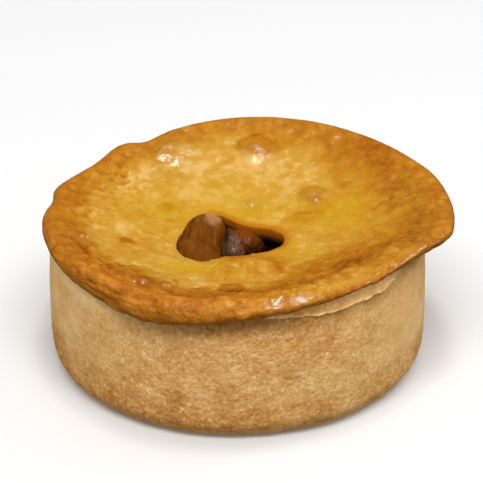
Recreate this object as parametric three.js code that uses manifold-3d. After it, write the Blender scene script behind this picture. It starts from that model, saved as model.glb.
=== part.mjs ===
// A baked meat and potato pie: a raised pastry case, a sunken glazed lid with an uneven
// rolled rim and a torn steam vent, and the filling, which shows in the vent.
// Millimetres, +Z up, origin at the centre of the base. The front of the pie faces -Y,
// and angles turn from +X towards +Y.
import * as THREE from 'three';
import { ParametricGeometry } from 'three/addons/geometries/ParametricGeometry.js';
import { mergeVertices } from 'three/addons/utils/BufferGeometryUtils.js';
import Module from 'manifold-3d';

const SEGMENTS = 90;
const GAP = 0.3;
const MERGE_WITHIN = 1e-3;

// Case: a barrel that sags a little, widest low down.
const BELLY_RADIUS = 48.3;
const BELLY_HEIGHT = 12;
const TOP_RADIUS = 47.3;
const TOP_HEIGHT = 35;
const BASE_EDGE = 5.6;
const WALL_THICK = 4.5;
const FLOOR_THICK = 4.5;
const INNER_CORNER = 3;

// Ledge of case dough squeezed out under the rim at the front right.
const LEDGE_DEPTH = 3.7;
const LEDGE_UNDERCUT = 0.4;
const LEDGE = [{ at: -54, before: 14, after: 14, amount: 0.9 }];

// Rounded top edge of the case, from the ledge up; flare is the share of the ledge that is left.
const TOP_EDGE = [
  { inset: 0, drop: 1.2, flare: 0.6 },
  { inset: 0.5, drop: 0.3, flare: 0.45 },
  { inset: 1.4, drop: 0, flare: 0.3 },
];

// Lid: a shallow dish inside a rolled rim.
const LID_DIP = 30.5;
const LID_THICK = 4;
const DISH_POWER = 2.2;
const RIM_REACH = 49.6;
const RIM_TOP = 39.8;
const RIM_UNDER = 35.2;
const RIM_NOSE = 3;
const SEAT_INSET = 0.5;
const SEAT_RADIUS = TOP_RADIUS - WALL_THICK - SEAT_INSET;
const LIP_DROP = 0.4;
const LIP_ROUND = 1.6;

// Waves of the rim: degrees for the place and the spread on either side, millimetres for the amount.
const REACH_WAVES = [
  { at: -10, before: 8.5, after: 62, amount: 5.4 },
  { at: 21, before: 6, after: 5, amount: 0.5 },
  { at: 72, before: 25, after: 20, amount: 1 },
  { at: 123, before: 4, after: 4, amount: -0.8 },
  { at: 129.5, before: 4, after: 5, amount: 0.9 },
  { at: 141, before: 6, after: 6, amount: -0.7 },
  { at: 160.5, before: 6, after: 4.5, amount: 0.85 },
  { at: 168, before: 4, after: 4, amount: -1.1 },
  { at: -164, before: 7, after: 8, amount: -0.25 },
  { at: -112, before: 12, after: 22, amount: 2.3 },
];
const TOP_WAVES = [
  { at: 80, before: 32, after: 19, amount: 1.5 },
  { at: 120, before: 5, after: 4, amount: -1.1 },
  { at: 128, before: 4, after: 5, amount: 0.8 },
  { at: 152, before: 22, after: 45, amount: -3.1 },
  { at: 164, before: 5, after: 6, amount: 0.6 },
];
const UNDER_WAVES = [
  { at: -118, before: 24, after: 18, amount: -3 },
  { at: -52, before: 22, after: 26, amount: 2.1 },
  { at: 30, before: 40, after: 45, amount: 0.9 },
  { at: 165, before: 35, after: 30, amount: -1.7 },
];

// Rolls on the inner side of the rim: waves along it, each highest at its own width in from the ridge.
const ROLLS = [
  { at: -58, before: 30, after: 26, width: 5, amount: 1.35 },
  { at: -128, before: 16, after: 16, width: 7, amount: 1.1 },
];

// Swellings of the lid: the flap in front of the vent and three blisters.
const SWELLINGS = [
  { x: 3, y: -17.5, spreadX: 7, spreadY: 3.6, height: 1.5 },
  { x: 4, y: 38, spreadX: 4.6, spreadY: 2.4, height: 1.2 },
  { x: 19.5, y: 19, spreadX: 3.2, spreadY: 2.8, height: 1 },
  { x: -22, y: 24, spreadX: 7, spreadY: 3.4, height: 0.7 },
];

// Vent: four torn lobes that meet, measured out from a point inside all of them; turn is in degrees.
const VENT = { x: -3, y: -1.2 };
const VENT_LOBES = [
  { x: -8.9, y: -3.3, radiusX: 6.6, radiusY: 9.5, turn: -7 },
  { x: 3.6, y: -1.4, radiusX: 8.7, radiusY: 6.7, turn: 24 },
  { x: -5, y: 1.8, radiusX: 7.3, radiusY: 11.6, turn: 20 },
  { x: 0.5, y: 2.2, radiusX: 5.5, radiusY: 5, turn: 0 },
];
const LOBE_BLEND = 8;

// Filling: an open pit at the right of the vent, and the lumps that stand up into the vent beside it.
const PIT = { x: 9, y: -1.6, spreadX: 5.4, spreadY: 4.4, depth: 11 };
const LUMPS = [
  { x: -9.6, y: 5.6, z: 27.6, radiusX: 4.2, radiusY: 7.4, radiusZ: 5 },
  { x: -6.6, y: 6.6, z: 27.8, radiusX: 3.9, radiusY: 6.6, radiusZ: 5 },
  { x: -10.6, y: -3.4, z: 26.2, radiusX: 6.6, radiusY: 10.2, radiusZ: 4.8 },
  { x: -1.8, y: 4.6, z: 24.8, radiusX: 4, radiusY: 6.4, radiusZ: 4.4 },
  { x: 2.2, y: 8, z: 24, radiusX: 5.2, radiusY: 5.6, radiusZ: 5 },
];
const LUMP_GAP = 0.6;

// Rings of each surface. Those of the dish are shares of the way from the vent's edge to the rim's ridge,
// close together over the rolls of the rim.
const DISH_RINGS = [1, 0.96, 0.92, 0.88, 0.84, 0.79, 0.71, 0.61, 0.5, 0.39, 0.28, 0.18, 0.09, 0.03, 0];
const STEPS = { edge: 5, wall: 5, corner: 3, underside: 8, nose: 8, bed: 10, lumpAround: 16, lumpUp: 10 };

const wasm = await Module();
wasm.setup();

/** Sum of a list of waves at an angle in radians. */
function waveSum(waves, angle) {
  const degrees = THREE.MathUtils.radToDeg(angle);
  return waves.reduce((sum, wave) => {
    const turn = THREE.MathUtils.euclideanModulo(degrees - wave.at + 180, 360) - 180;
    const spread = turn < 0 ? wave.before : wave.after;
    return sum + wave.amount * Math.exp(-0.5 * (turn / spread) ** 2);
  }, 0);
}

/** Bell of height 1 over a place with its own spread along X and Y. */
function bell(place, x, y) {
  const across = (x - place.x) / place.spreadX;
  const along = (y - place.y) / place.spreadY;
  return Math.exp(-0.5 * (across ** 2 + along ** 2));
}

/** Height of a roll at an angle and a distance in from the rim's ridge. */
function rollHeight(roll, angle, inset) {
  const across = Math.max(inset, 0) / roll.width;
  return waveSum([roll], angle) * across ** 2 * Math.exp(1 - across ** 2);
}

const rimTop = (angle) => RIM_TOP + waveSum(TOP_WAVES, angle);
const rimUnder = (angle) => RIM_UNDER + waveSum(UNDER_WAVES, angle);
const ridgeRadius = (angle) => RIM_REACH + waveSum(REACH_WAVES, angle) - RIM_NOSE;

/** Height of the lid's top over a point of the plan. */
function lidTop(x, y) {
  const angle = Math.atan2(y, x);
  const radius = Math.hypot(x, y);
  const ridge = ridgeRadius(angle);
  const dish = LID_DIP + (rimTop(angle) - LID_DIP) * (radius / ridge) ** DISH_POWER;
  const rolled = ROLLS.reduce((height, roll) => height + rollHeight(roll, angle, ridge - radius), dish);
  return SWELLINGS.reduce((height, place) => height + place.height * bell(place, x, y), rolled);
}

/** Height of the lid's underside over a point of the plan: a bowl inside the flat seat on the case. */
function lidUnderside(x, y) {
  const low = LID_DIP - LID_THICK;
  const share = Math.min(Math.hypot(x, y) / SEAT_RADIUS, 1);
  return low + (rimUnder(Math.atan2(y, x)) - low) * share ** 2;
}

/** Distance from the vent's middle to the edge of one lobe, along an angle. */
function lobeRadius(lobe, angle) {
  const turn = THREE.MathUtils.degToRad(-lobe.turn);
  const shrink = new THREE.Vector2(1 / lobe.radiusX, 1 / lobe.radiusY);
  const zero = new THREE.Vector2();
  const inLobe = (x, y) => new THREE.Vector2(x, y).rotateAround(zero, turn).multiply(shrink);
  const step = inLobe(Math.cos(angle), Math.sin(angle));
  const start = inLobe(VENT.x - lobe.x, VENT.y - lobe.y);
  const half = step.dot(start);
  return (Math.sqrt(half ** 2 + step.lengthSq() * (1 - start.lengthSq())) - half) / step.lengthSq();
}

/** Distance from the vent's middle to its torn edge, along an angle. */
function ventRadius(angle) {
  const powers = VENT_LOBES.map((lobe) => lobeRadius(lobe, angle) ** LOBE_BLEND);
  return powers.reduce((sum, power) => sum + power, 0) ** (1 / LOBE_BLEND);
}

/** Plan point of the lid, from the vent's edge at share 0 to an outer radius at share 1. */
function lidPlan(angle, share, outer) {
  const edge = ventRadius(angle);
  return new THREE.Vector2(
    THREE.MathUtils.lerp(VENT.x + edge * Math.cos(angle), outer * Math.cos(angle), share),
    THREE.MathUtils.lerp(VENT.y + edge * Math.sin(angle), outer * Math.sin(angle), share),
  );
}

/** Outside radius of the case at a height, rounded in to the flat base. */
function caseRadius(z) {
  const lean = (z - BELLY_HEIGHT) / (TOP_HEIGHT - BELLY_HEIGHT);
  const side = BELLY_RADIUS - (BELLY_RADIUS - TOP_RADIUS) * lean ** 2;
  const below = Math.max(1 - z / BASE_EDGE, 0);
  return side - BASE_EDGE * (1 - Math.sqrt(1 - below ** 2));
}

/** Inside radius of the case at a height, rounded in to its floor. */
function hollowRadius(z) {
  const below = THREE.MathUtils.clamp(1 - (z - FLOOR_THICK) / INNER_CORNER, 0, 1);
  return caseRadius(Math.max(z, BASE_EDGE)) - WALL_THICK - INNER_CORNER * (1 - Math.sqrt(1 - below ** 2));
}

/** Shares from start to end in equal steps, both ends counted. */
function shares(steps, start, end) {
  return Array.from({ length: steps + 1 }, (_, i) => THREE.MathUtils.lerp(start, end, i / steps));
}

/** Ring at a radius and a height, each of which may be a function of the angle. */
function ring(radius, height) {
  const at = (value, angle) => (typeof value === 'function' ? value(angle) : value);
  return (angle, out) => {
    const r = at(radius, angle);
    out.set(r * Math.cos(angle), r * Math.sin(angle), at(height, angle));
  };
}

/** Closed surface through a list of rings. */
function skin(rings) {
  const last = rings.length - 1;
  const place = (u, v, out) => rings[Math.round(v * last)](2 * Math.PI * u, out);
  return new ParametricGeometry(place, SEGMENTS, last);
}

/** Case: up the outside from the middle of the base, over the top edge and down to the floor. */
function caseGeometry() {
  const top = (angle) => rimUnder(angle) - GAP;
  const ledge = (angle) => waveSum(LEDGE, angle);
  const outside = (inset, drop, flare) => {
    const height = (angle) => top(angle) - drop;
    return ring((angle) => caseRadius(height(angle)) - inset + flare * ledge(angle), height);
  };
  const wallHead = LEDGE_DEPTH + LEDGE_UNDERCUT;
  const quarter = shares(STEPS.edge, 0, Math.PI / 2).map((a) => BASE_EDGE * (1 - Math.cos(a)));
  const wall = shares(STEPS.wall, 0, 1).slice(1).map((share) => {
    const height = (angle) => THREE.MathUtils.lerp(BASE_EDGE, top(angle) - wallHead, share);
    return ring((angle) => caseRadius(height(angle)), height);
  });
  const corner = shares(STEPS.corner, 0, Math.PI / 2).map(
    (a) => FLOOR_THICK + INNER_CORNER * (1 - Math.sin(a)),
  );
  return skin([
    ring(0, 0),
    ...quarter.map((z) => ring(caseRadius(z), z)),
    ...wall,
    outside(0, LEDGE_DEPTH, 1),
    ...TOP_EDGE.map(({ inset, drop, flare }) => outside(inset, drop, flare)),
    ring((angle) => hollowRadius(top(angle)), top),
    ring(hollowRadius(TOP_HEIGHT / 2), TOP_HEIGHT / 2),
    ...corner.map((z) => ring(hollowRadius(z), z)),
    ring(0, FLOOR_THICK),
  ]);
}

/** Lid: out along the underside, round the rolled nose of the rim, in over the dish and down the vent. */
function lidGeometry() {
  const lip = (angle, share) => {
    const away = share * (ridgeRadius(angle) - ventRadius(angle));
    return LIP_DROP * Math.exp(-((away / LIP_ROUND) ** 2));
  };
  const under = shares(STEPS.underside, 0, 1).map((share) => (angle, out) => {
    const { x, y } = lidPlan(angle, share, SEAT_RADIUS);
    out.set(x, y, lidUnderside(x, y));
  });
  const nose = shares(STEPS.nose, -Math.PI / 2, Math.PI / 2).slice(0, -1).map((tilt) =>
    ring(
      (angle) => ridgeRadius(angle) + RIM_NOSE * Math.cos(tilt),
      (angle) => THREE.MathUtils.lerp(rimUnder(angle), rimTop(angle), 0.5 + 0.5 * Math.sin(tilt)),
    ),
  );
  const over = DISH_RINGS.map((share) => (angle, out) => {
    const { x, y } = lidPlan(angle, share, ridgeRadius(angle));
    out.set(x, y, lidTop(x, y) - lip(angle, share));
  });
  return skin([...under, ...nose, ...over, under[0]]);
}

/** Body of the filling: up the case's inside and in under the lid, with the pit sunk into its top. */
function fillingGeometry() {
  const floor = FLOOR_THICK + GAP;
  const edge = (angle) => rimUnder(angle) - 2 * GAP;
  const radius = (z) => hollowRadius(z) - GAP;
  const corner = shares(STEPS.corner, 0, 1).map((share) => floor + INNER_CORNER * share ** 2);
  const topRadius = (angle) => Math.min(radius(edge(angle)), SEAT_RADIUS - GAP);
  const over = shares(STEPS.bed, 1, 0).map((share) => (angle, out) => {
    const x = share * topRadius(angle) * Math.cos(angle);
    const y = share * topRadius(angle) * Math.sin(angle);
    out.set(x, y, lidUnderside(x, y) - 2 * GAP - PIT.depth * bell(PIT, x, y));
  });
  return skin([
    ring(0, floor),
    ...corner.map((z) => ring(radius(z), z)),
    ring(radius(TOP_HEIGHT / 2), TOP_HEIGHT / 2),
    ...over,
  ]);
}

/** Clear way through the vent: a prism that keeps a gap to its torn edge. */
function mouthGeometry() {
  const edge = (height) => (angle, out) => {
    const r = ventRadius(angle) - LUMP_GAP;
    out.set(VENT.x + r * Math.cos(angle), VENT.y + r * Math.sin(angle), height);
  };
  const middle = (height) => (angle, out) => out.set(VENT.x, VENT.y, height);
  return skin([middle(FLOOR_THICK), edge(FLOOR_THICK), edge(RIM_TOP), middle(RIM_TOP)]);
}

/** Rounded lump of the filling. */
function lumpGeometry(lump) {
  return new THREE.SphereGeometry(1, STEPS.lumpAround, STEPS.lumpUp)
    .rotateX(Math.PI / 2)
    .scale(lump.radiusX, lump.radiusY, lump.radiusZ)
    .translate(lump.x, lump.y, lump.z);
}

/** Geometry as a solid for joining. */
function toSolid(geometry) {
  const bare = new THREE.BufferGeometry();
  bare.setAttribute('position', geometry.getAttribute('position'));
  bare.setIndex(geometry.getIndex());
  const merged = mergeVertices(bare, MERGE_WITHIN);
  return new wasm.Manifold(new wasm.Mesh({
    numProp: 3,
    vertProperties: merged.getAttribute('position').array,
    triVerts: new Uint32Array(merged.getIndex().array),
  }));
}

/** Joined solid as a geometry. */
function toGeometry(solid) {
  const mesh = solid.getMesh();
  const geometry = new THREE.BufferGeometry();
  geometry.setAttribute('position', new THREE.BufferAttribute(mesh.vertProperties, 3));
  geometry.setIndex(new THREE.BufferAttribute(mesh.triVerts, 1));
  geometry.computeVertexNormals();
  return geometry;
}

/** Named mesh with its own finish. */
function piece(name, geometry, color, roughness) {
  const mesh = new THREE.Mesh(geometry, new THREE.MeshStandardMaterial({ color, roughness, metalness: 0 }));
  mesh.name = name;
  return mesh;
}

const mouth = toSolid(mouthGeometry());
const filling = LUMPS.reduce(
  (solid, lump) => solid.add(toSolid(lumpGeometry(lump)).intersect(mouth)),
  toSolid(fillingGeometry()),
);

const pie = new THREE.Group();
pie.name = 'meat_and_potato_pie';
pie.add(
  piece('pastry_case', caseGeometry(), 0xd9a968, 0.85),
  piece('pastry_lid', lidGeometry(), 0xd08a32, 0.45),
  piece('filling', toGeometry(filling), 0x5a3418, 0.3),
);

export default pie;
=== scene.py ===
"""Looks of a baked meat and potato pie.

A raised pastry case, a sunken glazed lid with a rolled rim and a torn steam vent, and the filling that
shows in the vent. Lengths are in millimetres and angles in degrees unless a name says otherwise, the front
of the pie faces -Y, and angles turn from +X towards +Y. Meshes are written in metres.
"""

from __future__ import annotations

import itertools
import logging
import math
from dataclasses import dataclass, field
from enum import Enum
from typing import Any, Mapping, Sequence, Union

import bpy
import numpy as np
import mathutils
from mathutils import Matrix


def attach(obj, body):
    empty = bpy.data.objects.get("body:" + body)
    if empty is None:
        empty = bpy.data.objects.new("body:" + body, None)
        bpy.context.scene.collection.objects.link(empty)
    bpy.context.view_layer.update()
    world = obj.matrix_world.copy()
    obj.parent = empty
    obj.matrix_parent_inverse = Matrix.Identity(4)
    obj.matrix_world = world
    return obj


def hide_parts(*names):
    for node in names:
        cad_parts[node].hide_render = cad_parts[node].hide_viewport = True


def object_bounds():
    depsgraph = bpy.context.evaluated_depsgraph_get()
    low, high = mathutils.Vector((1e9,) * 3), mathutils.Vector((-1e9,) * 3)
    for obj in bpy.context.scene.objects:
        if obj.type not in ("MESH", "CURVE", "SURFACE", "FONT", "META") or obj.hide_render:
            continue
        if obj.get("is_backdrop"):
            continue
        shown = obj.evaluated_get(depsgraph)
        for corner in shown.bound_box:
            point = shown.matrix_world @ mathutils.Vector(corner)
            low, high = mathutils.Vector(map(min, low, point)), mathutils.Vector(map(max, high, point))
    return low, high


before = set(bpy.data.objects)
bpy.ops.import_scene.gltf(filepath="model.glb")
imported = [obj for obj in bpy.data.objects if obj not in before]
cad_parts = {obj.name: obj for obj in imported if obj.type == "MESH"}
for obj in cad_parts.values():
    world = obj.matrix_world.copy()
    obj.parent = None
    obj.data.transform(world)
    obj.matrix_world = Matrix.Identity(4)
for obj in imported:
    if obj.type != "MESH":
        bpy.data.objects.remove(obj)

LOG = logging.getLogger("pie")
CAD_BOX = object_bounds()
MM = 0.001
BODY = "root"
TURN = 2.0 * math.pi
UPRIGHT = 0.5 * math.pi
TINY = 1e-9

Array = np.ndarray
Colour = tuple[float, float, float]
Vector = tuple[float, float, float]
Range = tuple[float, float]


def smoothstep(low: float | Array, high: float | Array, value: Array) -> Array:
    """Ease from 0 at low to 1 at high along 3t^2 - 2t^3.

    Args:
        low: Value where the ease starts; it may be above high for a falling ease.
        high: Value where the ease ends.
        value: Values to ease.

    Returns:
        Shares from 0 to 1.
    """
    share = np.clip((value - low) / (high - low), 0.0, 1.0)
    return share * share * (3.0 - 2.0 * share)


def hump(value: Array, middle: float, width: float) -> Array:
    """Bell of height 1: exp of minus the squared distance from the middle in widths."""
    return np.exp(-(((value - middle) / width) ** 2))


def rising(pair: Range, share: Array | Value) -> Array | Value:
    """First number of a pair, plus the second times a share."""
    return pair[0] + pair[1] * share


def screen_colour(red: float, green: float, blue: float) -> Colour:
    """Turn a colour as seen on a screen, 0 to 255, into linear light by the sRGB curve.

    Args:
        red: Red, 0 to 255.
        green: Green, 0 to 255.
        blue: Blue, 0 to 255.

    Returns:
        The same colour in linear light, 0 to 1.
    """
    shares = [channel / 255.0 for channel in (red, green, blue)]
    linear = [s / 12.92 if s <= 0.04045 else ((s + 0.055) / 1.055) ** 2.4 for s in shares]
    return (linear[0], linear[1], linear[2])


class Grain:
    """Random field in space that is the same on every run."""

    LATTICE = 32
    GAIN = 1.6
    LAYER_SHIFT = (7.3, 3.1, 5.7)
    SMALLEST_BUMP = 0.45

    def __init__(self, seed: int) -> None:
        """Draw the lattice's slopes, places and sizes.

        Args:
            seed: Seed of the draws.
        """
        draw = np.random.default_rng(seed)
        lattice = (self.LATTICE, self.LATTICE, self.LATTICE)
        slopes = draw.normal(size=(*lattice, 3))
        self._slopes = slopes / np.linalg.norm(slopes, axis=-1, keepdims=True)
        self._places = draw.random((*lattice, 3))
        self._sizes = draw.random(lattice)

    def _cell(self, base: Array, step: Sequence[int]) -> tuple[Array, Array, Array]:
        """Lattice indices of the cell that lies a step away from each base cell."""
        index = (base + np.asarray(step)) % self.LATTICE
        return index[..., 0], index[..., 1], index[..., 2]

    def smooth(self, points: Array, size: float) -> Array:
        """Smooth hills and hollows: at each lattice corner a random slope, blended with a quintic fade.

        Args:
            points: Places, with x, y and z last.
            size: Spacing of the lattice, about half the distance between hills.

        Returns:
            Heights of about -1 to 1.
        """
        place = points / size
        base = np.floor(place).astype(int)
        part = place - base
        fade = part**3 * (part * (part * 6.0 - 15.0) + 10.0)
        total = np.zeros(points.shape[:-1])
        for corner in itertools.product((0, 1), repeat=3):
            slope = self._slopes[self._cell(base, corner)]
            rise = ((part - np.asarray(corner)) * slope).sum(axis=-1)
            total += rise * np.prod(np.where(np.asarray(corner) == 1, fade, 1.0 - fade), axis=-1)
        return self.GAIN * total

    def layered(self, points: Array, size: float, layers: int = 3) -> Array:
        """Sum of smooth fields, each half the size and half the height of the one before.

        Args:
            points: Places, with x, y and z last.
            size: Spacing of the first field's lattice.
            layers: Number of fields.

        Returns:
            Heights of about -1 to 1.
        """
        shift = np.asarray(self.LAYER_SHIFT)
        heights = [self.smooth(points + i * shift, size / 2**i) / 2**i for i in range(layers)]
        return sum(heights) / (2.0 - 2.0 ** (1 - layers))

    def bubbles(self, points: Array, size: float, fullness: float = 0.75) -> Array:
        """Rounded bumps at random places: each is a dome over a random point of its lattice cell.

        Args:
            points: Places, with x, y and z last.
            size: Spacing of the lattice, about the distance between bumps.
            fullness: Largest radius of a bump, as a share of the spacing.

        Returns:
            Heights from 0 between the bumps to 1 on top of the largest.
        """
        place = points / size
        base = np.floor(place).astype(int)
        part = place - base
        highest = np.zeros(points.shape[:-1])
        for step in itertools.product((-1, 0, 1), repeat=3):
            cell = self._cell(base, step)
            away = np.linalg.norm(part - np.asarray(step) - self._places[cell], axis=-1)
            radius = fullness * (self.SMALLEST_BUMP + (1.0 - self.SMALLEST_BUMP) * self._sizes[cell])
            dome = np.clip(1.0 - (away / radius) ** 2, 0.0, 1.0) * radius / fullness
            highest = np.maximum(highest, dome)
        return highest


@dataclass(frozen=True)
class Noise:
    """Height, spacing, number of layers and shift of one random field."""

    amount: float
    size: float
    layers: int = 3
    shift: float = 0.0

    def over(self, grain: Grain, points: Array) -> Array:
        """Heights of the field: the amount times the layered grain of the shifted places."""
        return self.amount * grain.layered(points + self.shift, self.size, self.layers)


def noise_sum(noises: Sequence[Noise], grain: Grain, points: Array) -> Array:
    """Sum of random fields at each place."""
    return sum(noise.over(grain, points) for noise in noises)


@dataclass(frozen=True)
class Wave:
    """Bell of a rim round an angle, with its own spread on either side."""

    at: float
    before: float
    after: float
    amount: float

    def over(self, degrees: Array) -> Array:
        """Height of the bell: amount times exp of minus half the squared turn over the spread.

        Args:
            degrees: Angles to look at.

        Returns:
            Heights at those angles.
        """
        turn = (degrees - self.at + 180.0) % 360.0 - 180.0
        spread = np.where(turn < 0.0, self.before, self.after)
        return self.amount * np.exp(-0.5 * (turn / spread) ** 2)


def wave_sum(waves: Sequence[Wave], degrees: Array) -> Array:
    """Sum of waves at each angle."""
    return sum((wave.over(degrees) for wave in waves), np.zeros(np.shape(degrees)))


@dataclass(frozen=True)
class Bell:
    """Bell over a place of the plan, with its own spread along X and Y."""

    x: float
    y: float
    spread_x: float
    spread_y: float
    amount: float

    def over(self, x: Array, y: Array) -> Array:
        """Height of the bell: amount times exp of minus half the squared distance in spreads.

        Args:
            x: Places along X.
            y: Places along Y.

        Returns:
            Heights at those places.
        """
        across = (x - self.x) / self.spread_x
        along = (y - self.y) / self.spread_y
        return self.amount * np.exp(-0.5 * (across**2 + along**2))


def bell_sum(bells: Sequence[Bell], x: Array, y: Array) -> Array:
    """Sum of bells at each place of the plan."""
    return sum((bell.over(x, y) for bell in bells), np.zeros(np.shape(x)))


@dataclass(frozen=True)
class Crease:
    """Groove along a bowed line of the plan, fading out at its ends."""

    start: tuple[float, float]
    end: tuple[float, float]
    bow: float
    width: float
    depth: float
    steps: int = 40
    end_slope: float = 5.0

    def over(self, x: Array, y: Array) -> Array:
        """Depth of the groove: a bell across the nearest point of a parabola from start to end.

        Args:
            x: Places along X.
            y: Places along Y.

        Returns:
            Depths, 0 away from the groove.
        """
        start, end = np.asarray(self.start), np.asarray(self.end)
        along = end - start
        side = np.asarray((-along[1], along[0])) / np.linalg.norm(along)
        deepest = np.zeros(np.shape(x))
        for share in np.linspace(0.0, 1.0, self.steps):
            point = start + share * along + 4.0 * share * (1.0 - share) * self.bow * side
            away = ((x - point[0]) ** 2 + (y - point[1]) ** 2) / self.width**2
            fade = min(1.0, self.end_slope * share, self.end_slope * (1.0 - share))
            deepest = np.maximum(deepest, fade * np.exp(-away))
        return self.depth * deepest


@dataclass(frozen=True)
class RimRoll:
    """Thick roll of pastry along a stretch of the rim."""

    at: float
    before: float
    after: float
    width: float
    height: float

    def over(self, degrees: Array, inset: Array) -> Array:
        """Height of the roll: u^2 exp(1 - u^2) for the inset in widths, as strong as a wave makes it.

        Args:
            degrees: Angles of the points.
            inset: How far they lie inside the ridge.

        Returns:
            Heights, 0 outside the ridge.
        """
        share = np.maximum(inset, 0.0) / self.width
        strength = Wave(self.at, self.before, self.after, self.height).over(degrees)
        return strength * share**2 * np.exp(1.0 - share**2)


@dataclass(frozen=True)
class Lobe:
    """Turned ellipse of the vent's torn edge."""

    x: float
    y: float
    radius_x: float
    radius_y: float
    turn: float

    def edge(self, from_x: float, from_y: float, angle: Array) -> Array:
        """Distance from a point inside the ellipse to its edge: the root of its equation along a ray.

        Args:
            from_x: The point's place along X.
            from_y: The point's place along Y.
            angle: Directions of the rays, in radians.

        Returns:
            Distances along the rays.
        """
        turn = math.radians(self.turn)

        def squeeze(x: Array | float, y: Array | float) -> tuple[Array | float, Array | float]:
            """Turn a vector to the ellipse's own axes, with its radii as units.

            Args:
                x: Length along X.
                y: Length along Y.

            Returns:
                Lengths along the ellipse's two axes.
            """
            along = x * math.cos(turn) + y * math.sin(turn)
            across = y * math.cos(turn) - x * math.sin(turn)
            return along / self.radius_x, across / self.radius_y

        step_x, step_y = squeeze(np.cos(angle), np.sin(angle))
        start_x, start_y = squeeze(from_x - self.x, from_y - self.y)
        square = step_x**2 + step_y**2
        half = step_x * start_x + step_y * start_y
        return (np.sqrt(half**2 + square * (1.0 - start_x**2 - start_y**2)) - half) / square


@dataclass(frozen=True)
class PieForm:
    """Driving sizes of the pie and the surfaces that its pieces share."""

    gap: float = 0.3
    belly_radius: float = 48.3
    belly_height: float = 12.0
    top_radius: float = 47.3
    top_height: float = 35.0
    base_edge: float = 5.6
    wall_thick: float = 4.5
    floor_thick: float = 4.5
    inner_corner: float = 3.0
    lid_dip: float = 30.5
    lid_thick: float = 4.0
    dish_power: float = 2.2
    rim_reach: float = 49.6
    rim_top_height: float = 39.8
    rim_under_height: float = 35.2
    rim_nose: float = 3.0
    seat_inset: float = 0.5
    vent_x: float = -3.0
    vent_y: float = -1.2
    lobe_blend: float = 8.0
    reach_waves: tuple[Wave, ...] = (
        Wave(-10, 8.5, 62, 5.4),
        Wave(21, 6, 5, 0.5),
        Wave(72, 25, 20, 1.0),
        Wave(123, 4, 4, -0.8),
        Wave(129.5, 4, 5, 0.9),
        Wave(141, 6, 6, -0.7),
        Wave(160.5, 6, 4.5, 0.85),
        Wave(168, 4, 4, -1.1),
        Wave(-164, 7, 8, -0.25),
        Wave(-112, 12, 22, 2.3),
    )
    top_waves: tuple[Wave, ...] = (
        Wave(80, 32, 19, 1.5),
        Wave(120, 5, 4, -1.1),
        Wave(128, 4, 5, 0.8),
        Wave(152, 22, 45, -3.1),
        Wave(164, 5, 6, 0.6),
    )
    under_waves: tuple[Wave, ...] = (
        Wave(-118, 24, 18, -3.0),
        Wave(-52, 17, 26, 2.1),
        Wave(30, 40, 45, 0.9),
        Wave(165, 35, 30, -1.7),
    )
    swellings: tuple[Bell, ...] = (
        Bell(3.0, -17.5, 7.0, 3.6, 1.5),
        Bell(4.0, 38.0, 4.6, 2.4, 1.2),
        Bell(19.5, 19.0, 3.2, 2.8, 1.0),
        Bell(-22.0, 24.0, 7.0, 3.4, 0.7),
    )
    rolls: tuple[RimRoll, ...] = (
        RimRoll(-58.0, 30.0, 26.0, 5.0, 1.35),
        RimRoll(-128.0, 16.0, 16.0, 7.0, 1.1),
    )
    lobes: tuple[Lobe, ...] = (
        Lobe(-8.9, -3.3, 6.6, 9.5, -7.0),
        Lobe(3.6, -1.4, 8.7, 6.7, 24.0),
        Lobe(-5.0, 1.8, 7.3, 11.6, 20.0),
        Lobe(0.5, 2.2, 5.5, 5.0, 0.0),
    )

    @property
    def seat_radius(self) -> float:
        """Radius inside which the lid's underside leaves the case's top edge."""
        return self.top_radius - self.wall_thick - self.seat_inset

    def ridge(self, angle: Array) -> Array:
        """Radius of the rim's ridge at angles in radians."""
        return self.rim_reach - self.rim_nose + wave_sum(self.reach_waves, np.degrees(angle))

    def rim_top(self, angle: Array) -> Array:
        """Height of the rim's ridge at angles in radians."""
        return self.rim_top_height + wave_sum(self.top_waves, np.degrees(angle))

    def rim_under(self, angle: Array) -> Array:
        """Height of the rim's underside at angles in radians."""
        return self.rim_under_height + wave_sum(self.under_waves, np.degrees(angle))

    def lid_top(self, x: Array, y: Array) -> Array:
        """Height of the lid's top: a dish that rises with a power of the radius, rolls and swellings.

        Args:
            x: Places along X.
            y: Places along Y.

        Returns:
            Heights at those places.
        """
        angle = np.arctan2(y, x)
        radius, ridge = np.hypot(x, y), self.ridge(angle)
        dish = self.lid_dip + (self.rim_top(angle) - self.lid_dip) * (radius / ridge) ** self.dish_power
        rolled = sum(roll.over(np.degrees(angle), ridge - radius) for roll in self.rolls)
        return dish + rolled + bell_sum(self.swellings, x, y)

    def lid_underside(self, x: Array, y: Array) -> Array:
        """Height of the lid's underside: a bowl that rises with the squared radius to the flat seat.

        Args:
            x: Places along X.
            y: Places along Y.

        Returns:
            Heights at those places.
        """
        low = self.lid_dip - self.lid_thick
        share = np.minimum(np.hypot(x, y) / self.seat_radius, 1.0)
        return low + (self.rim_under(np.arctan2(y, x)) - low) * share**2

    def vent_radius(self, angle: Array) -> Array:
        """Distance from the vent's middle to its edge: a soft maximum of the lobes' edges."""
        edges = [lobe.edge(self.vent_x, self.vent_y, angle) ** self.lobe_blend for lobe in self.lobes]
        return sum(edges) ** (1.0 / self.lobe_blend)

    def case_radius(self, z: Array) -> Array:
        """Outside radius of the case: a parabola about the belly, with a round edge at the base.

        Args:
            z: Heights above the base.

        Returns:
            Radii at those heights.
        """
        lean = (z - self.belly_height) / (self.top_height - self.belly_height)
        side = self.belly_radius - (self.belly_radius - self.top_radius) * lean**2
        below = np.clip(1.0 - z / self.base_edge, 0.0, 1.0)
        return side - self.base_edge * (1.0 - np.sqrt(1.0 - below**2))

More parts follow.
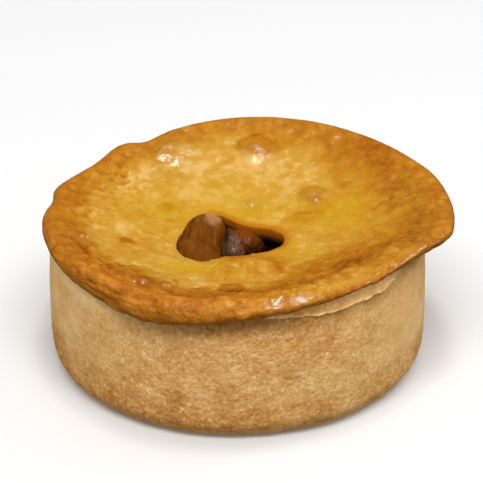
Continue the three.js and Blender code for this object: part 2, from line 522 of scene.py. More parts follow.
    def hollow_radius(self, z: Array) -> Array:
        """Inside radius of the case: the outside less the wall, with a round corner at the floor.

        Args:
            z: Heights above the base.

        Returns:
            Radii at those heights.
        """
        below = np.clip(1.0 - (z - self.floor_thick) / self.inner_corner, 0.0, 1.0)
        outside = self.case_radius(np.maximum(z, self.base_edge))
        return outside - self.wall_thick - self.inner_corner * (1.0 - np.sqrt(1.0 - below**2))


class Seam(Enum):
    """How the first and last ring of a surface are closed."""

    JOINED = "the last ring meets the first"
    POLES = "each end ring closes on a point"


@dataclass
class Rings:
    """Surface through rings of points: its columns run round and its rows run along a profile."""

    points: Array
    seam: Seam
    attributes: dict[str, Array] = field(default_factory=dict)

    @classmethod
    def round_axis(cls, radius: Array, height: Array, angle: Array, seam: Seam) -> "Rings":
        """Rings about the upright axis.

        Args:
            radius: Radius of each row and column.
            height: Height of each row and column.
            angle: Angle of each column, in radians.
            seam: How the ends are closed.

        Returns:
            The surface: radius times cosine and sine of the angle, at the height.
        """
        radius, height = np.broadcast_arrays(radius, height)
        return cls(np.stack((radius * np.cos(angle), radius * np.sin(angle), height), axis=-1), seam)

    def normals(self) -> Array:
        """Outward unit normals: the step round the ring crossed with the step along the profile.

        Returns:
            A unit vector for each point.
        """
        around = np.roll(self.points, -1, axis=1) - np.roll(self.points, 1, axis=1)
        if self.seam is Seam.JOINED:
            along = np.roll(self.points, -1, axis=0) - np.roll(self.points, 1, axis=0)
        else:
            along = np.gradient(self.points, axis=0)
        normal = np.cross(around, along)
        return normal / np.maximum(np.linalg.norm(normal, axis=-1, keepdims=True), TINY)

    def raised(self, relief: Array) -> "Rings":
        """The surface moved out along its normals by a relief, with the same attributes."""
        return Rings(self.points + relief[..., None] * self.normals(), self.seam, self.attributes)

    def to_object(self, name: str) -> bpy.types.Object:
        """Make the mesh object, with smooth faces and one point attribute for each array.

        Args:
            name: Name of the piece.

        Returns:
            The object, at the origin.
        """
        rows, columns = self.points.shape[:2]
        index = np.arange(rows * columns).reshape(rows, columns)
        upper = np.roll(index, -1, axis=0)
        quads = np.stack((index, np.roll(index, -1, axis=1), np.roll(upper, -1, axis=1), upper), axis=-1)
        points = self.points.reshape(-1, 3)
        values = {key: np.asarray(array).reshape(-1) for key, array in self.attributes.items()}
        if self.seam is Seam.JOINED:
            faces = quads.reshape(-1, 4).tolist()
        else:
            first, last = len(points), len(points) + 1
            points = np.vstack((points, self.points[0].mean(axis=0), self.points[-1].mean(axis=0)))
            ends = np.stack((np.full(columns, first), np.roll(index[0], -1), index[0]), axis=-1)
            tips = np.stack((np.full(columns, last), index[-1], np.roll(index[-1], -1)), axis=-1)
            faces = quads[:-1].reshape(-1, 4).tolist() + ends.tolist() + tips.tolist()
            values = {
                key: np.append(array, (array[:columns].mean(), array[-columns:].mean()))
                for key, array in values.items()
            }
        mesh = bpy.data.meshes.new(name)
        mesh.from_pydata((points * MM).tolist(), [], faces)
        for key, array in values.items():
            layer = mesh.attributes.new(key, "FLOAT", "POINT")
            layer.data.foreach_set("value", array.astype(np.float32))
        mesh.shade_smooth()
        mesh.update()
        piece = bpy.data.objects.new(name, mesh)
        bpy.context.scene.collection.objects.link(piece)
        return piece


class Value:
    """A number that changes over a surface. Operators on it add Math nodes to its graph."""

    def __init__(self, graph: "Graph", socket: bpy.types.NodeSocket) -> None:
        """Wrap an output socket of a graph."""
        self.graph = graph
        self.socket = socket

    def _math(self, operation: str, *terms: "Number") -> "Value":
        """Result of a Math node."""
        made = self.graph.node("ShaderNodeMath", {"operation": operation}, dict(enumerate(terms)))
        return Value(self.graph, made.outputs[0])

    def __add__(self, other: "Number") -> "Value":
        """Sum."""
        return self._math("ADD", self, other)

    __radd__ = __add__

    def __sub__(self, other: "Number") -> "Value":
        """Difference."""
        return self._math("SUBTRACT", self, other)

    def __rsub__(self, other: "Number") -> "Value":
        """Difference, with the number first."""
        return self._math("SUBTRACT", other, self)

    def __mul__(self, other: "Number") -> "Value":
        """Product."""
        return self._math("MULTIPLY", self, other)

    __rmul__ = __mul__

    def clamped(self) -> "Value":
        """The value kept between 0 and 1."""
        return self._math("MINIMUM", self._math("MAXIMUM", self, 0.0), 1.0)

    def eased(self, low: float, high: float) -> "Value":
        """Smooth step of the value.

        Args:
            low: Where the step starts from 0.
            high: Where it reaches 1.

        Returns:
            Shares from 0 to 1.
        """
        settings = {"interpolation_type": "SMOOTHSTEP"}
        made = self.graph.node("ShaderNodeMapRange", settings, {0: self, 1: low, 2: high})
        return Value(self.graph, made.outputs[0])


Number = Union[Value, float]
Link = Union[Value, bpy.types.NodeSocket, float, Sequence[float]]


@dataclass(frozen=True)
class Cloud:
    """Cloudy noise of a finish: size in millimetres, finer layers, their strength, and factors on the place.

    A factor below 1 along X, Y or Z draws the features out that way.
    """

    size: float
    detail: float = 3.0
    roughness: float = 0.55
    stretch: Vector = (1.0, 1.0, 1.0)


class Graph:
    """Node graph of one material or of the sky."""

    def __init__(self, owner: bpy.types.Material | bpy.types.World) -> None:
        """Start with no nodes but the coordinates.

        Args:
            owner: Material or world that the nodes belong to.
        """
        owner.use_nodes = True
        self.owner = owner
        self.tree = owner.node_tree
        self.tree.nodes.clear()
        self.coordinates = self.node("ShaderNodeTexCoord").outputs
        self.place = self.coordinates["Object"]

    def node(
        self,
        kind: str,
        settings: Mapping[str, Any] | None = None,
        sockets: Mapping[Union[str, int], Link] | None = None,
    ) -> bpy.types.Node:
        """Add a node.

        Args:
            kind: The node's type.
            settings: Its own settings, set before its sockets; stops is a colour ramp's list of stops.
            sockets: Values or links of its inputs, by name or index.

        Returns:
            The node.
        """
        made = self.tree.nodes.new(kind)
        for key, value in (settings or {}).items():
            if key == "stops":
                self._set_stops(made.color_ramp, value)
            else:
                setattr(made, key, value)
        for key, value in (sockets or {}).items():
            if isinstance(value, Value):
                value = value.socket
            if isinstance(value, bpy.types.NodeSocket):
                self.tree.links.new(value, made.inputs[key])
            else:
                made.inputs[key].default_value = value
        return made

    @staticmethod
    def _set_stops(ramp: bpy.types.ColorRamp, stops: Sequence[tuple[float, Colour]]) -> None:
        """Give a colour ramp its stops.

        Args:
            ramp: The ramp.
            stops: Places from 0 to 1 with their colours.
        """
        while len(ramp.elements) < len(stops):
            ramp.elements.new(0.5)
        for element, (place, colour) in zip(ramp.elements, stops):
            element.position = place
            element.color = (*colour, 1.0)

    def attribute(self, name: str) -> Value:
        """Number stored on the mesh's points."""
        made = self.node("ShaderNodeAttribute", {"attribute_name": name})
        return Value(self, made.outputs["Fac"])

    def noise(self, cloud: Cloud) -> Value:
        """Cloudy noise.

        Args:
            cloud: Its size, layers and stretch.

        Returns:
            Values from 0 to 1.
        """
        settings = {"operation": "MULTIPLY"}
        place = self.node("ShaderNodeVectorMath", settings, {0: self.place, 1: cloud.stretch}).outputs[0]
        sockets = {
            "Vector": place,
            "Scale": 1.0 / (cloud.size * MM),
            "Detail": cloud.detail,
            "Roughness": cloud.roughness,
        }
        return Value(self, self.node("ShaderNodeTexNoise", None, sockets).outputs["Fac"])

    def cells(self, size: float) -> Value:
        """Distance to the nearest of random points that lie about a size in millimetres apart."""
        sockets = {"Vector": self.place, "Scale": 1.0 / (size * MM)}
        return Value(self, self.node("ShaderNodeTexVoronoi", None, sockets).outputs["Distance"])

    def ramp(self, share: Value, stops: Sequence[tuple[float, Colour]]) -> bpy.types.NodeSocket:
        """Colour along a ramp."""
        return self.node("ShaderNodeValToRGB", {"stops": stops}, {"Fac": share}).outputs["Color"]

    def mixed(self, share: Value, first: Link, second: Link) -> bpy.types.NodeSocket:
        """Colour between two colours.

        Args:
            share: Share of the second colour.
            first: Colour or link.
            second: Colour or link.

        Returns:
            The mixed colour.
        """
        sockets: dict[Union[str, int], Link] = {"Factor": share}
        for key, colour in ((6, first), (7, second)):
            sockets[key] = colour if isinstance(colour, bpy.types.NodeSocket) else (*colour, 1.0)
        return self.node("ShaderNodeMix", {"data_type": "RGBA"}, sockets).outputs[2]

    def scaled(self, colour: bpy.types.NodeSocket, factor: Value) -> bpy.types.NodeSocket:
        """Colour made lighter or darker by a factor."""
        sockets = {0: colour, "Scale": factor}
        return self.node("ShaderNodeVectorMath", {"operation": "SCALE"}, sockets).outputs[0]

    def bumped(self, height: Value, depth: float) -> bpy.types.NodeSocket:
        """Normal bent by a height of 0 to 1 over a depth in millimetres."""
        sockets = {"Strength": 1.0, "Distance": depth * MM, "Height": height}
        return self.node("ShaderNodeBump", None, sockets).outputs["Normal"]

    def finish(self, sockets: Mapping[str, Link]) -> bpy.types.Material:
        """Close the graph with a Principled shader.

        Args:
            sockets: Values or links of the shader's inputs.

        Returns:
            The material.
        """
        shader = self.node("ShaderNodeBsdfPrincipled", None, sockets)
        self.node("ShaderNodeOutputMaterial", None, {"Surface": shader.outputs["BSDF"]})
        return self.owner


@dataclass(frozen=True)
class GlazedCrust:
    """Egg-glazed lid: golden in the dish, browned on the rim, soaked with gravy in the vent, where the gravy
    is painted darker downwards as shade.
    """

    stops: tuple[tuple[float, Colour], ...] = (
        (0.00, screen_colour(200, 158, 88)),
        (0.18, screen_colour(182, 136, 48)),
        (0.42, screen_colour(171, 114, 20)),
        (0.66, screen_colour(154, 90, 9)),
        (0.86, screen_colour(126, 61, 2)),
        (1.00, screen_colour(84, 37, 2)),
    )
    lemon: Colour = screen_colour(180, 138, 10)
    painted_light_tint: Colour = screen_colour(208, 127, 42)
    gravy: Colour = screen_colour(165, 94, 3)
    vent_shade_gravy: Colour = screen_colour(44, 18, 2)
    mottle: Cloud = Cloud(1.9, 3.0, 0.65)
    fleck: Cloud = Cloud(4.0, 2.0)
    speck: Cloud = Cloud(0.7, 3.0, 0.7)
    stroke: Cloud = Cloud(0.9, 3.0, 0.6, (1.0, 0.55, 0.55))
    pale: Cloud = Cloud(2.1, 3.0, 0.6)
    shine: Cloud = Cloud(1.4, 4.0, 0.65)
    pimple: Cloud = Cloud(0.7, 3.0, 0.6)
    mottle_share: Range = (0.3, 0.3)
    mottle_light: Range = (0.2, 0.3)
    speck_light: Range = (0.3, 0.4)
    fleck_share: float = 0.2
    stroke_share: float = 0.9
    pale_range: Range = (0.48, 0.72)
    pale_share: float = 0.16
    painted_light_mottle: float = 2.4
    shine_range: Range = (0.32, 0.56)
    pimple_spacing: float = 0.9
    pimple_depth: float = 0.22
    pimple_share: Range = (0.4, 0.9)
    cell_share: float = 0.6
    gloss_smoothing: float = 0.75
    roughness: float = 0.62
    shine_smoothing: float = 0.2
    soak_roughening: float = 0.15
    specular: float = 0.06
    coat_ior: float = 2.1
    coat_roughness: float = 0.25

    def material(self) -> bpy.types.Material:
        """Build the material from the mesh's colour attributes.

        The browning, broken up by noise, picks a colour on the ramp. Lemon, a pinkish tan of painted light
        and sheen, and gravy are mixed over it, and the gravy darkens down the vent as painted shade. A pair
        of shares is one for the dish and what the crust of the rim adds to it.

        Returns:
            The material.
        """
        graph = Graph(bpy.data.materials.new("glazed_crust"))
        mottle = graph.noise(self.mottle) - 0.5
        fleck = graph.noise(self.fleck) - 0.5
        speck = graph.noise(self.speck) - 0.5
        browning = graph.attribute("browning")
        soak = graph.attribute("soak")
        crust = graph.attribute("crust")
        strokes = (graph.noise(self.stroke) - 0.5) * graph.attribute("fibres")
        pale = graph.noise(self.pale).eased(*self.pale_range) * (1.0 - crust) * self.pale_share
        share = browning + mottle * rising(self.mottle_share, crust) + fleck * self.fleck_share
        share = share - strokes * self.stroke_share - pale
        colour = graph.ramp(share.clamped(), self.stops)
        colour = graph.mixed(graph.attribute("lemon"), colour, self.lemon)
        # Painted light and sheen: a pinkish tan mixed over the nose and the far rim.
        painted_light_tint = graph.attribute("painted_light_tint") * (mottle * self.painted_light_mottle + 1.0).clamped()
        colour = graph.mixed(painted_light_tint, colour, self.painted_light_tint)
        light = 1.0 + mottle * rising(self.mottle_light, crust) + speck * rising(self.speck_light, crust)
        colour = graph.scaled(colour, light)
        # Painted shade: the gravy darkens to near black down the vent.
        wet = graph.mixed(graph.attribute("depth"), self.gravy, self.vent_shade_gravy)
        colour = graph.mixed(soak, colour, wet)
        gloss = graph.attribute("gloss")
        shine = graph.noise(self.shine).eased(*self.shine_range) * gloss
        pimples = (1.0 - graph.cells(self.pimple_spacing)) * self.cell_share + graph.noise(self.pimple)
        pimples = pimples + strokes * self.stroke_share
        pimples = pimples * rising(self.pimple_share, crust) * (1.0 - gloss * self.gloss_smoothing)
        return graph.finish(
            {
                "Base Color": colour,
                "Roughness": self.roughness - shine * self.shine_smoothing + soak * self.soak_roughening,
                "Specular IOR Level": self.specular,
                "Coat Weight": shine,
                "Coat IOR": self.coat_ior,
                "Coat Roughness": self.coat_roughness,
                "Normal": graph.bumped(pimples, self.pimple_depth),
            }
        )


@dataclass(frozen=True)
class BakedCrust:
    """Matt case: tan and grainy, browner at the base, with painted shadow under the rim and painted light on
    the ledge, which is paler along its torn edge as a painted highlight.
    """

    stops: tuple[tuple[float, Colour], ...] = (
        (0.00, screen_colour(252, 212, 148)),
        (0.35, screen_colour(234, 183, 115)),
        (0.65, screen_colour(212, 153, 82)),
        (1.00, screen_colour(170, 107, 42)),
    )
    speckle: Cloud = Cloud(0.9, 2.0, 0.5)
    patch: Cloud = Cloud(2.6, 3.0, 0.6)
    cloud: Cloud = Cloud(7.0, 2.0)
    grain: Cloud = Cloud(0.7, 4.0, 0.7)
    speckle_share: float = 0.9
    patch_share: float = 0.68
    patch_grit: Range = (0.2, 0.8)
    cloud_share: float = 0.62
    fleck_spacing: float = 2.6
    fleck_range: Range = (0.72, 0.92)
    fleck_share: float = 0.35
    grain_spacing: float = 0.9
    grain_depth: float = 0.2
    grain_share: Range = (0.3, 0.7)
    cell_share: float = 0.7
    roughness: float = 0.88
    specular: float = 0.2

    def material(self) -> bpy.types.Material:
        """Build the material from the mesh's toast, grit and shade attributes.

        The toast, broken up by noise, picks a colour on the ramp, and the shade makes it darker in the
        painted shadow under the rim and lighter with painted light on the ledge.
        A pair of shares is one for a smooth wall and what the grit adds to it.

        Returns:
            The material.
        """
        graph = Graph(bpy.data.materials.new("baked_crust"))
        grit = graph.attribute("grit")
        speckle = (graph.noise(self.speckle) - 0.5) * self.speckle_share
        patch = (graph.noise(self.patch) - 0.5) * self.patch_share
        cloud = (graph.noise(self.cloud) - 0.5) * self.cloud_share
        fleck = (1.0 - graph.cells(self.fleck_spacing)).eased(*self.fleck_range) * self.fleck_share
        share = graph.attribute("toast") + (speckle - fleck) * grit
        share = share + patch * rising(self.patch_grit, grit) + cloud
        colour = graph.ramp(share.clamped(), self.stops)
        grains = graph.noise(self.grain) + (1.0 - graph.cells(self.grain_spacing)) * self.cell_share
        return graph.finish(
            {
                "Base Color": graph.scaled(colour, graph.attribute("shade")),
                "Roughness": self.roughness,
                "Specular IOR Level": self.specular,
                "Normal": graph.bumped(grains * rising(self.grain_share, grit), self.grain_depth),
            }
        )


@dataclass(frozen=True)
class GravyCoat:
    """Wet gravy over a piece of the filling, streaked, with painted light on its crown: the crown's colour
    stands for the light on its lit side, the darker colours below it for shade.
    """

    name: str
    dark: Colour
    light: Colour
    lit_crown: Colour
    crown_start: float
    grain: float
    stretch: Vector = (1.0, 1.0, 1.0)
    wetness: float = 0.2
    ragged: float = 0.06
    fineness: float = 0.4
    depth: float = 0.3
    streak_range: Range = (0.2, 0.8)
    roughness: float = 0.6
    specular: float = 0.05
    coat_ior: float = 2.0
    coat_roughness: float = 0.25

    def material(self) -> bpy.types.Material:
        """Build the material from stretched noise and the mesh's rise attribute.

        The noise mixes the dark and the light colour, and the lit crown's colour, painted light, comes in
        with the rise.

        Returns:
            The material.
        """
        graph = Graph(bpy.data.materials.new(self.name))
        streak = graph.noise(Cloud(self.grain, 4.0, 0.6, self.stretch)).eased(*self.streak_range)
        colour = graph.mixed(streak, self.dark, self.light)
        lit_crown = (graph.attribute("rise") + (streak - 0.5) * self.ragged).eased(self.crown_start, 1.0)
        skin = graph.noise(Cloud(self.grain * self.fineness, 3.0, 0.6, self.stretch))
        return graph.finish(
            {
                "Base Color": graph.mixed(lit_crown, colour, self.lit_crown),
                "Roughness": self.roughness,
                "Specular IOR Level": self.specular,
                "Coat Weight": lit_crown * self.wetness,
                "Coat IOR": self.coat_ior,
                "Coat Roughness": self.coat_roughness,
                "Normal": graph.bumped(skin, self.depth),
            }
        )


@dataclass(frozen=True)
class Blister:
    """Raised blister of the glaze with a creased, toasted outline."""

    x: float
    y: float
    radius_x: float
    radius_y: float
    height: float
    toast: float = 0.0
    outline: float = 0.0
    moat: float = 0.0
    soft: float = 0.5
    unevenness: float = 0.6
    fullness: float = 0.8
    moat_line: Range = (1.05, 0.2)
    outline_line: Range = (1.0, 0.25)

    def distance(self, x: Array, y: Array, wobble: Array) -> Array:
        """Distance from the middle in radii, with an uneven outline."""
        plain = np.hypot((x - self.x) / self.radius_x, (y - self.y) / self.radius_y)
        return plain + self.unevenness * wobble

    def relief(self, x: Array, y: Array, wobble: Array) -> Array:
        """Height of the dome: a rounded cap, with a narrow moat at its outline.

        Args:
            x: Places along X.
            y: Places along Y.
            wobble: Noise that makes the outline uneven.

        Returns:
            Heights, 0 away from the blister.
        """
        away = self.distance(x, y, wobble)
        cap = np.clip(1.0 - away**2, 0.0, 1.0) ** self.fullness
        return self.height * (cap - self.moat * hump(away, *self.moat_line))

    def toasting(self, x: Array, y: Array, wobble: Array) -> Array:
        """Browning of the dome and of its outline.

        Args:
            x: Places along X.
            y: Places along Y.
            wobble: Noise that makes the outline uneven.

        Returns:
            Browning, 0 away from the blister.
        """
        away = self.distance(x, y, wobble)
        cover = smoothstep(1.0 + self.soft, 1.0 - self.soft, away)
        return self.toast * cover + self.outline * hump(away, *self.outline_line)


@dataclass(frozen=True)
class RimGroove:
    """Groove that follows the rim at an inset from its ridge."""

    at: float
    before: float
    after: float
    inset: float
    width: float
    depth: float

    def over(self, degrees: Array, inset: Array) -> Array:
        """Depth of the groove: a bell across the inset, as strong as a wave makes it at the angle."""
        strength = Wave(self.at, self.before, self.after, self.depth).over(degrees)
        return strength * hump(inset, self.inset, self.width)


@dataclass(frozen=True)
class RimFlap:
    """Stretch of the rim where glazed dough is folded back over the dish, with a crisp inner edge."""

    at: float
    half_width: float
    start: float
    reach: float
    edge: float

    def past_edge(self, degrees: Array, share: Array) -> Array:
        """How far points lie past the flap's inner edge.

        The edge lies at the start less the reach times exp of minus the fourth power of the turn in half
        widths.

        Args:
            degrees: Angles of the points.
            share: Their radii, as shares of the ridge's radius.

        Returns:
            Distances in edge widths, positive on the flap.
        """
        turn = (degrees - self.at + 180.0) % 360.0 - 180.0
        inner = self.start - self.reach * np.exp(-((turn / self.half_width) ** 4))
        return (share - inner) / self.edge


@dataclass
class LidSite:
    """Where each point of the lid's grid lies."""

    points: Array
    zone: Array
    tilt: Array
    angle: Array
    ridge: Array
    vent_gap: Array

    @property
    def x(self) -> Array:
        """Places along X."""
        return self.points[..., 0]

    @property
    def y(self) -> Array:
        """Places along Y."""
        return self.points[..., 1]

    @property
    def degrees(self) -> Array:
        """Angles about the upright axis."""
        return np.degrees(self.angle)

    @property
    def radius(self) -> Array:
        """Distances from the upright axis."""
        return np.hypot(self.x, self.y)

    @property
    def inset(self) -> Array:
        """Distances inside the rim's ridge."""
        return self.ridge - self.radius


@dataclass
class PastryLid:
    """Sunken lid with its rolled rim, blisters, creases and torn vent."""

    form: PieForm
    finish: GlazedCrust = field(default_factory=GlazedCrust)

    # Grid
    columns: int = 640
    under_rows: int = 7
    nose_rows: int = 32
    top_rows: int = 104
    vent_rows: int = 9
    away_from_vent: float = 99.0
    grain: Grain = field(default_factory=lambda: Grain(11))

    # Lip of the torn vent
    lip_drop: float = 0.4
    lip_round: float = 1.6

    # Creases and folds
    creases: tuple[Crease, ...] = (
        Crease((-43.6, -8.8), (-35.9, -20.4), 0.8, 0.7, 0.8),
        Crease((-35.9, -20.4), (-28.5, -24.6), -0.8, 0.7, 0.8),
        Crease((-25.0, 1.5), (-15.5, -5.0), 0.8, 0.4, 0.3),
        Crease((1.0, -10.2), (9.6, -16.0), -1.2, 0.9, 0.4),
        Crease((9.2, -15.4), (12.0, -23.0), -0.4, 0.9, 0.35),
        Crease((16.0, -19.1), (27.0, -11.4), -1.4, 0.45, 0.3),
        Crease((26.0, -11.2), (38.0, -5.0), 0.4, 0.45, 0.3),
        Crease((34.0, 7.0), (41.5, 12.0), 1.2, 0.6, 0.45),
        Crease((-0.5, 44.5), (-0.5, 49.0), 0.3, 0.5, 0.3),
    )
    grooves: tuple[RimGroove, ...] = (
        RimGroove(-58.0, 17.0, 20.0, 11.4, 0.9, 0.7),
        RimGroove(-86.0, 10.0, 8.0, 7.5, 1.0, 0.5),
        RimGroove(-104.0, 9.0, 9.0, 4.4, 0.8, 0.4),
        RimGroove(-24.0, 10.0, 12.0, 8.0, 0.8, 0.4),
    )
    double_edges: tuple[Wave, ...] = (Wave(-136.0, 15.0, 15.0, 0.34), Wave(-33.0, 8.0, 7.0, 0.4))
    double_edge_tilt: float = -3.0
    double_edge_spread: float = 12.0
    flap: RimFlap = RimFlap(-124.0, 16.5, 1.2, 0.53, 0.016)
    flap_rise: float = 0.7
    lip_height: float = 0.8
    front_roll: RimGroove = RimGroove(-73.0, 9.0, 10.0, 0.5, 3.6, 0.9)
    wrinkled: Wave = Wave(8.0, 24.0, 26.0, 0.34)
    drawn_out: Wave = Wave(-126.0, 26.0, 20.0, 1.0)
    fibrous: Wave = Wave(-90.0, 26.0, 30.0, 1.0)

    # Blisters, crumbs and pits
    blisters: tuple[Blister, ...] = (
        Blister(5.6, 39.2, 5.4, 3.4, 0.7, 0.42, 0.06, 0.06, 0.5),
        Blister(19.4, 18.6, 3.4, 2.8, 0.6, 0.32, 0.05),
        # Paler dome at the back left: a slight painted highlight where the glaze catches the lamp.
        Blister(-17.0, 38.2, 5.4, 5.2, 1.1, -0.08),
        Blister(2.0, -18.6, 9.2, 8.4, 0.9, 0.14, 0.0, 0.1),
        Blister(-1.2, -33.2, 3.9, 4.4, 0.3, 0.5, 0.08, 0.1, 0.12),
        Blister(-8.7, -34.3, 2.3, 1.4, 0.2, 0.3, 0.0, 0.0, 0.3),
        Blister(17.6, 9.2, 4.6, 2.8, 0.4, 0.36, 0.04),
        Blister(21.0, 14.0, 4.4, 3.6, 0.2, 0.27),
        Blister(-18.6, 14.4, 2.3, 1.8, 0.25, 0.5),
        Blister(-17.6, 7.8, 1.3, 1.2, 0.2, 0.34),
        Blister(-28.0, -5.6, 2.2, 1.6, 0.3, 0.54, 0.0, 0.0, 0.4),
        Blister(38.8, 14.8, 2.4, 1.9, 0.3, 0.25, 0.05),
        Blister(28.5, 21.6, 1.7, 1.4, 0.2, 0.32),
        Blister(27.3, -21.5, 2.8, 3.0, 0.8, 0.2, 0.15, 0.1),
        Blister(3.6, 17.2, 1.4, 1.3, 0.7),
        Blister(11.9, 14.2, 1.6, 1.3, 0.4, 0.1),
        Blister(-24.0, 7.6, 1.5, 1.4, 0.4),
        Blister(-38.6, -7.9, 1.6, 1.6, 0.9),
        Blister(-22.4, -36.3, 2.6, 1.9, 1.0),
        Blister(-17.2, -37.2, 2.0, 1.7, 1.0),
        Blister(-0.6, -16.2, 2.8, 1.8, 0.2, 0.3),
        Blister(5.8, -34.0, 4.2, 2.4, 0.2, -0.24),
        Blister(13.2, -39.0, 2.6, 1.4, 0.1, 0.32, 0.0, 0.0, 0.3),
    )
    crumbly: Bell = Bell(1.5, -19.5, 6.0, 4.6, 1.0)
    pitted: tuple[Bell, ...] = (Bell(-32.0, 24.0, 5.0, 5.5, 1.0), Bell(-39.0, 6.0, 3.6, 6.0, 0.8))

    # Browned rim
    brown_start: float = 0.84
    brown_starts: tuple[Wave, ...] = (
        Wave(5, 34, 34, -0.12),
        Wave(-50, 28, 20, -0.25),
        Wave(-95, 16, 16, -0.04),
        Wave(90, 40, 30, 0.05),
    )
    brown_width: float = 0.09
    brown_widths: tuple[Wave, ...] = (Wave(10, 40, 40, 0.12), Wave(-65, 28, 24, -0.05))
    boundary: Wave = Wave(-50.0, 18.0, 18.0, 0.2)
    flap_toast: float = 0.14
    left_nose: Wave = Wave(-130.0, 22.0, 16.0, 0.7)
    # Painted light on the lit crest of the front roll.
    crest_painted_light: RimGroove = RimGroove(-60.0, 22.0, 28.0, 0.0, 4.2, 0.44)
    # Painted shade at the foot of the roll, behind its crest.
    roll_foot_painted_shade: RimGroove = RimGroove(-56.0, 20.0, 24.0, 9.4, 2.0, 0.36)

    # Tints, painted light and sheen, and gloss
    lemons: tuple[Bell, ...] = (
        Bell(28.0, 9.0, 5.5, 6.0, 0.6),
        Bell(-12.0, -18.5, 6.0, 2.4, 0.8),
        Bell(0.0, 12.0, 14.0, 7.0, 0.5),
        Bell(14.0, -9.0, 5.0, 4.0, 0.45),
        Bell(-2.0, 22.0, 10.0, 5.0, 0.3),
        Bell(-22.0, 10.0, 5.0, 6.0, 0.3),
    )
    # Browning shifts at places; the paler bells over the back and at the right tip stand for the sheen on
    # the far rim: painted sheen.
    pale_places: tuple[Bell, ...] = (
        Bell(-8.0, 26.0, 22.0, 9.0, -0.09),
        Bell(-2.0, 46.0, 22.0, 6.0, -0.14),
        Bell(28.0, -23.0, 8.0, 4.5, -0.14),
        Bell(28.0, 8.0, 6.0, 9.0, 0.15),
        Bell(1.5, -10.8, 6.5, 1.7, 0.22),
        Bell(9.8, -14.6, 2.2, 4.0, 0.2),
        Bell(36.0, 31.0, 7.0, 5.0, 0.24),
        Bell(-32.7, -1.0, 4.0, 5.0, -0.12),
        Bell(-28.8, 14.0, 5.0, 4.0, 0.1),
        Bell(19.0, 41.5, 7.0, 3.0, 0.06),
        Bell(-25.0, -8.0, 10.0, 16.0, 0.07),
        Bell(46.0, 14.0, 5.0, 14.0, -0.05),
    )
    # Where the painted light tint goes: the shaded nose at the front, and sheen on the far rim.
    painted_light_waves: tuple[Wave, ...] = (
        Wave(-126.0, 28.0, 24.0, 0.5),
        Wave(-92.0, 18.0, 16.0, 0.3),
        Wave(-52.0, 26.0, 26.0, 0.3),
        Wave(25.0, 25.0, 40.0, 0.22),
        Wave(130.0, 25.0, 25.0, 0.3),
    )
    glossy: tuple[Bell, ...] = (
        Bell(9.3, -48.7, 1.5, 2.3, 1.0),
        Bell(15.7, -45.3, 1.4, 2.2, 1.0),
        Bell(44.1, -21.1, 2.4, 3.0, 0.7),
        Bell(40.7, -27.9, 2.4, 2.4, 0.7),
        Bell(29.9, -37.8, 2.2, 2.2, 0.8),
        Bell(33.6, -30.0, 2.2, 2.2, 0.8),
        Bell(47.0, -6.0, 4.0, 12.0, 0.5),
        Bell(-17.6, 35.6, 3.7, 4.4, 1.0),
        Bell(6.0, 34.4, 2.2, 2.0, 0.4),
        Bell(20.5, 17.5, 3.0, 3.0, 0.6),
        Bell(-22.4, -36.9, 2.8, 2.2, 0.75),
        Bell(-17.2, -37.8, 2.2, 2.0, 0.8),
        Bell(-38.6, -8.4, 2.2, 2.2, 1.0),
        Bell(3.6, 17.2, 2.0, 2.0, 0.8),
        Bell(-28.0, -25.5, 2.0, 1.6, 0.7),
        Bell(-20.0, -28.4, 2.4, 1.6, 0.7),
    )

    # Random fields
    tear: Noise = Noise(0.35, 3.0, 2)
    hills: Noise = Noise(0.4, 10.0)
    ripples: Noise = Noise(1.0, 3.4, 1, 70.0)
    inset_drift: Noise = Noise(0.7, 6.0, 1, 50.0)
    outline_noise: Noise = Noise(1.0, 3.6, 3, 17.0)
    pit_noise: Noise = Noise(1.0, 1.9, 2, 9.0)
    crumb_noise: Noise = Noise(1.0, 2.2, 2, 25.0)
    coarse_folds: Noise = Noise(1.0, 6.5, 2, 41.0)
    fine_folds: Noise = Noise(1.0, 3.0, 2, 8.0)
    rib_noise: Noise = Noise(0.12, 2.2, 1)
    spoke_noise: Noise = Noise(1.0, 1.7, 1)
    brown_noises: tuple[Noise, ...] = (Noise(0.05, 8.0), Noise(0.03, 2.4, 1, 30.0))
    toast_noises: tuple[Noise, ...] = (Noise(0.24, 7.0, 3, 90.0), Noise(0.12, 2.4, 1, 33.0))
    dome_size: float = 2.6
    drawn_dome_size: float = 2.0
    lip_dome_size: float = 2.2
    lip_dome_shift: float = 11.0
    drawn_step: float = 0.3
    rib_step: float = 0.03
    spoke_steps: Range = (0.9, 0.16)
    coarse_fold_width: float = 0.07
    fine_fold_width: float = 0.12
    fine_fold_share: float = 1.2
    flap_wobble: float = 0.03
    soak_wobble: float = 0.5
    depth_wobble: float = 0.12

    # Stretches of the tilt, the inset, the place or the noise over which a feature comes in
    top_tilt: Range = (30.0, 90.0)
    shown_tilt: Range = (-90.0, -60.0)
    crinkle_tilt: Range = (-10.0, 40.0)
    crinkle_front: Range = (5.0, -15.0)
    calm_inset: Range = (3.0, -1.0)
    calm_back: Range = (-30.0, -5.0)
    wrinkle_inset: Range = (16.0, 5.0)
    fibre_inset: Range = (6.0, 0.0)
    lower_height: Range = (3.4, 0.7)
    lower_tilt: Range = (60.0, 20.0)
    flap_end: Range = (-106.0, -124.0)
    flap_fold: Range = (-1.0, 1.5)
    flap_shade: Range = (-1.0, 1.0)
    pit_share: Range = (-0.05, 0.4)
    outer_inset: Range = (2.0, -2.5)
    nose_inset: Range = (4.0, 0.0)
    soak_gap: Range = (2.8, 0.2)
    soak_side: Range = (-13.0, -4.0)
    soak_radius: float = 40.0
    gloss_domes: Range = (0.5, 0.9)
    gloss_gap: Range = (0.5, 4.0)
    depth_zone: Range = (1.2, 1.95)

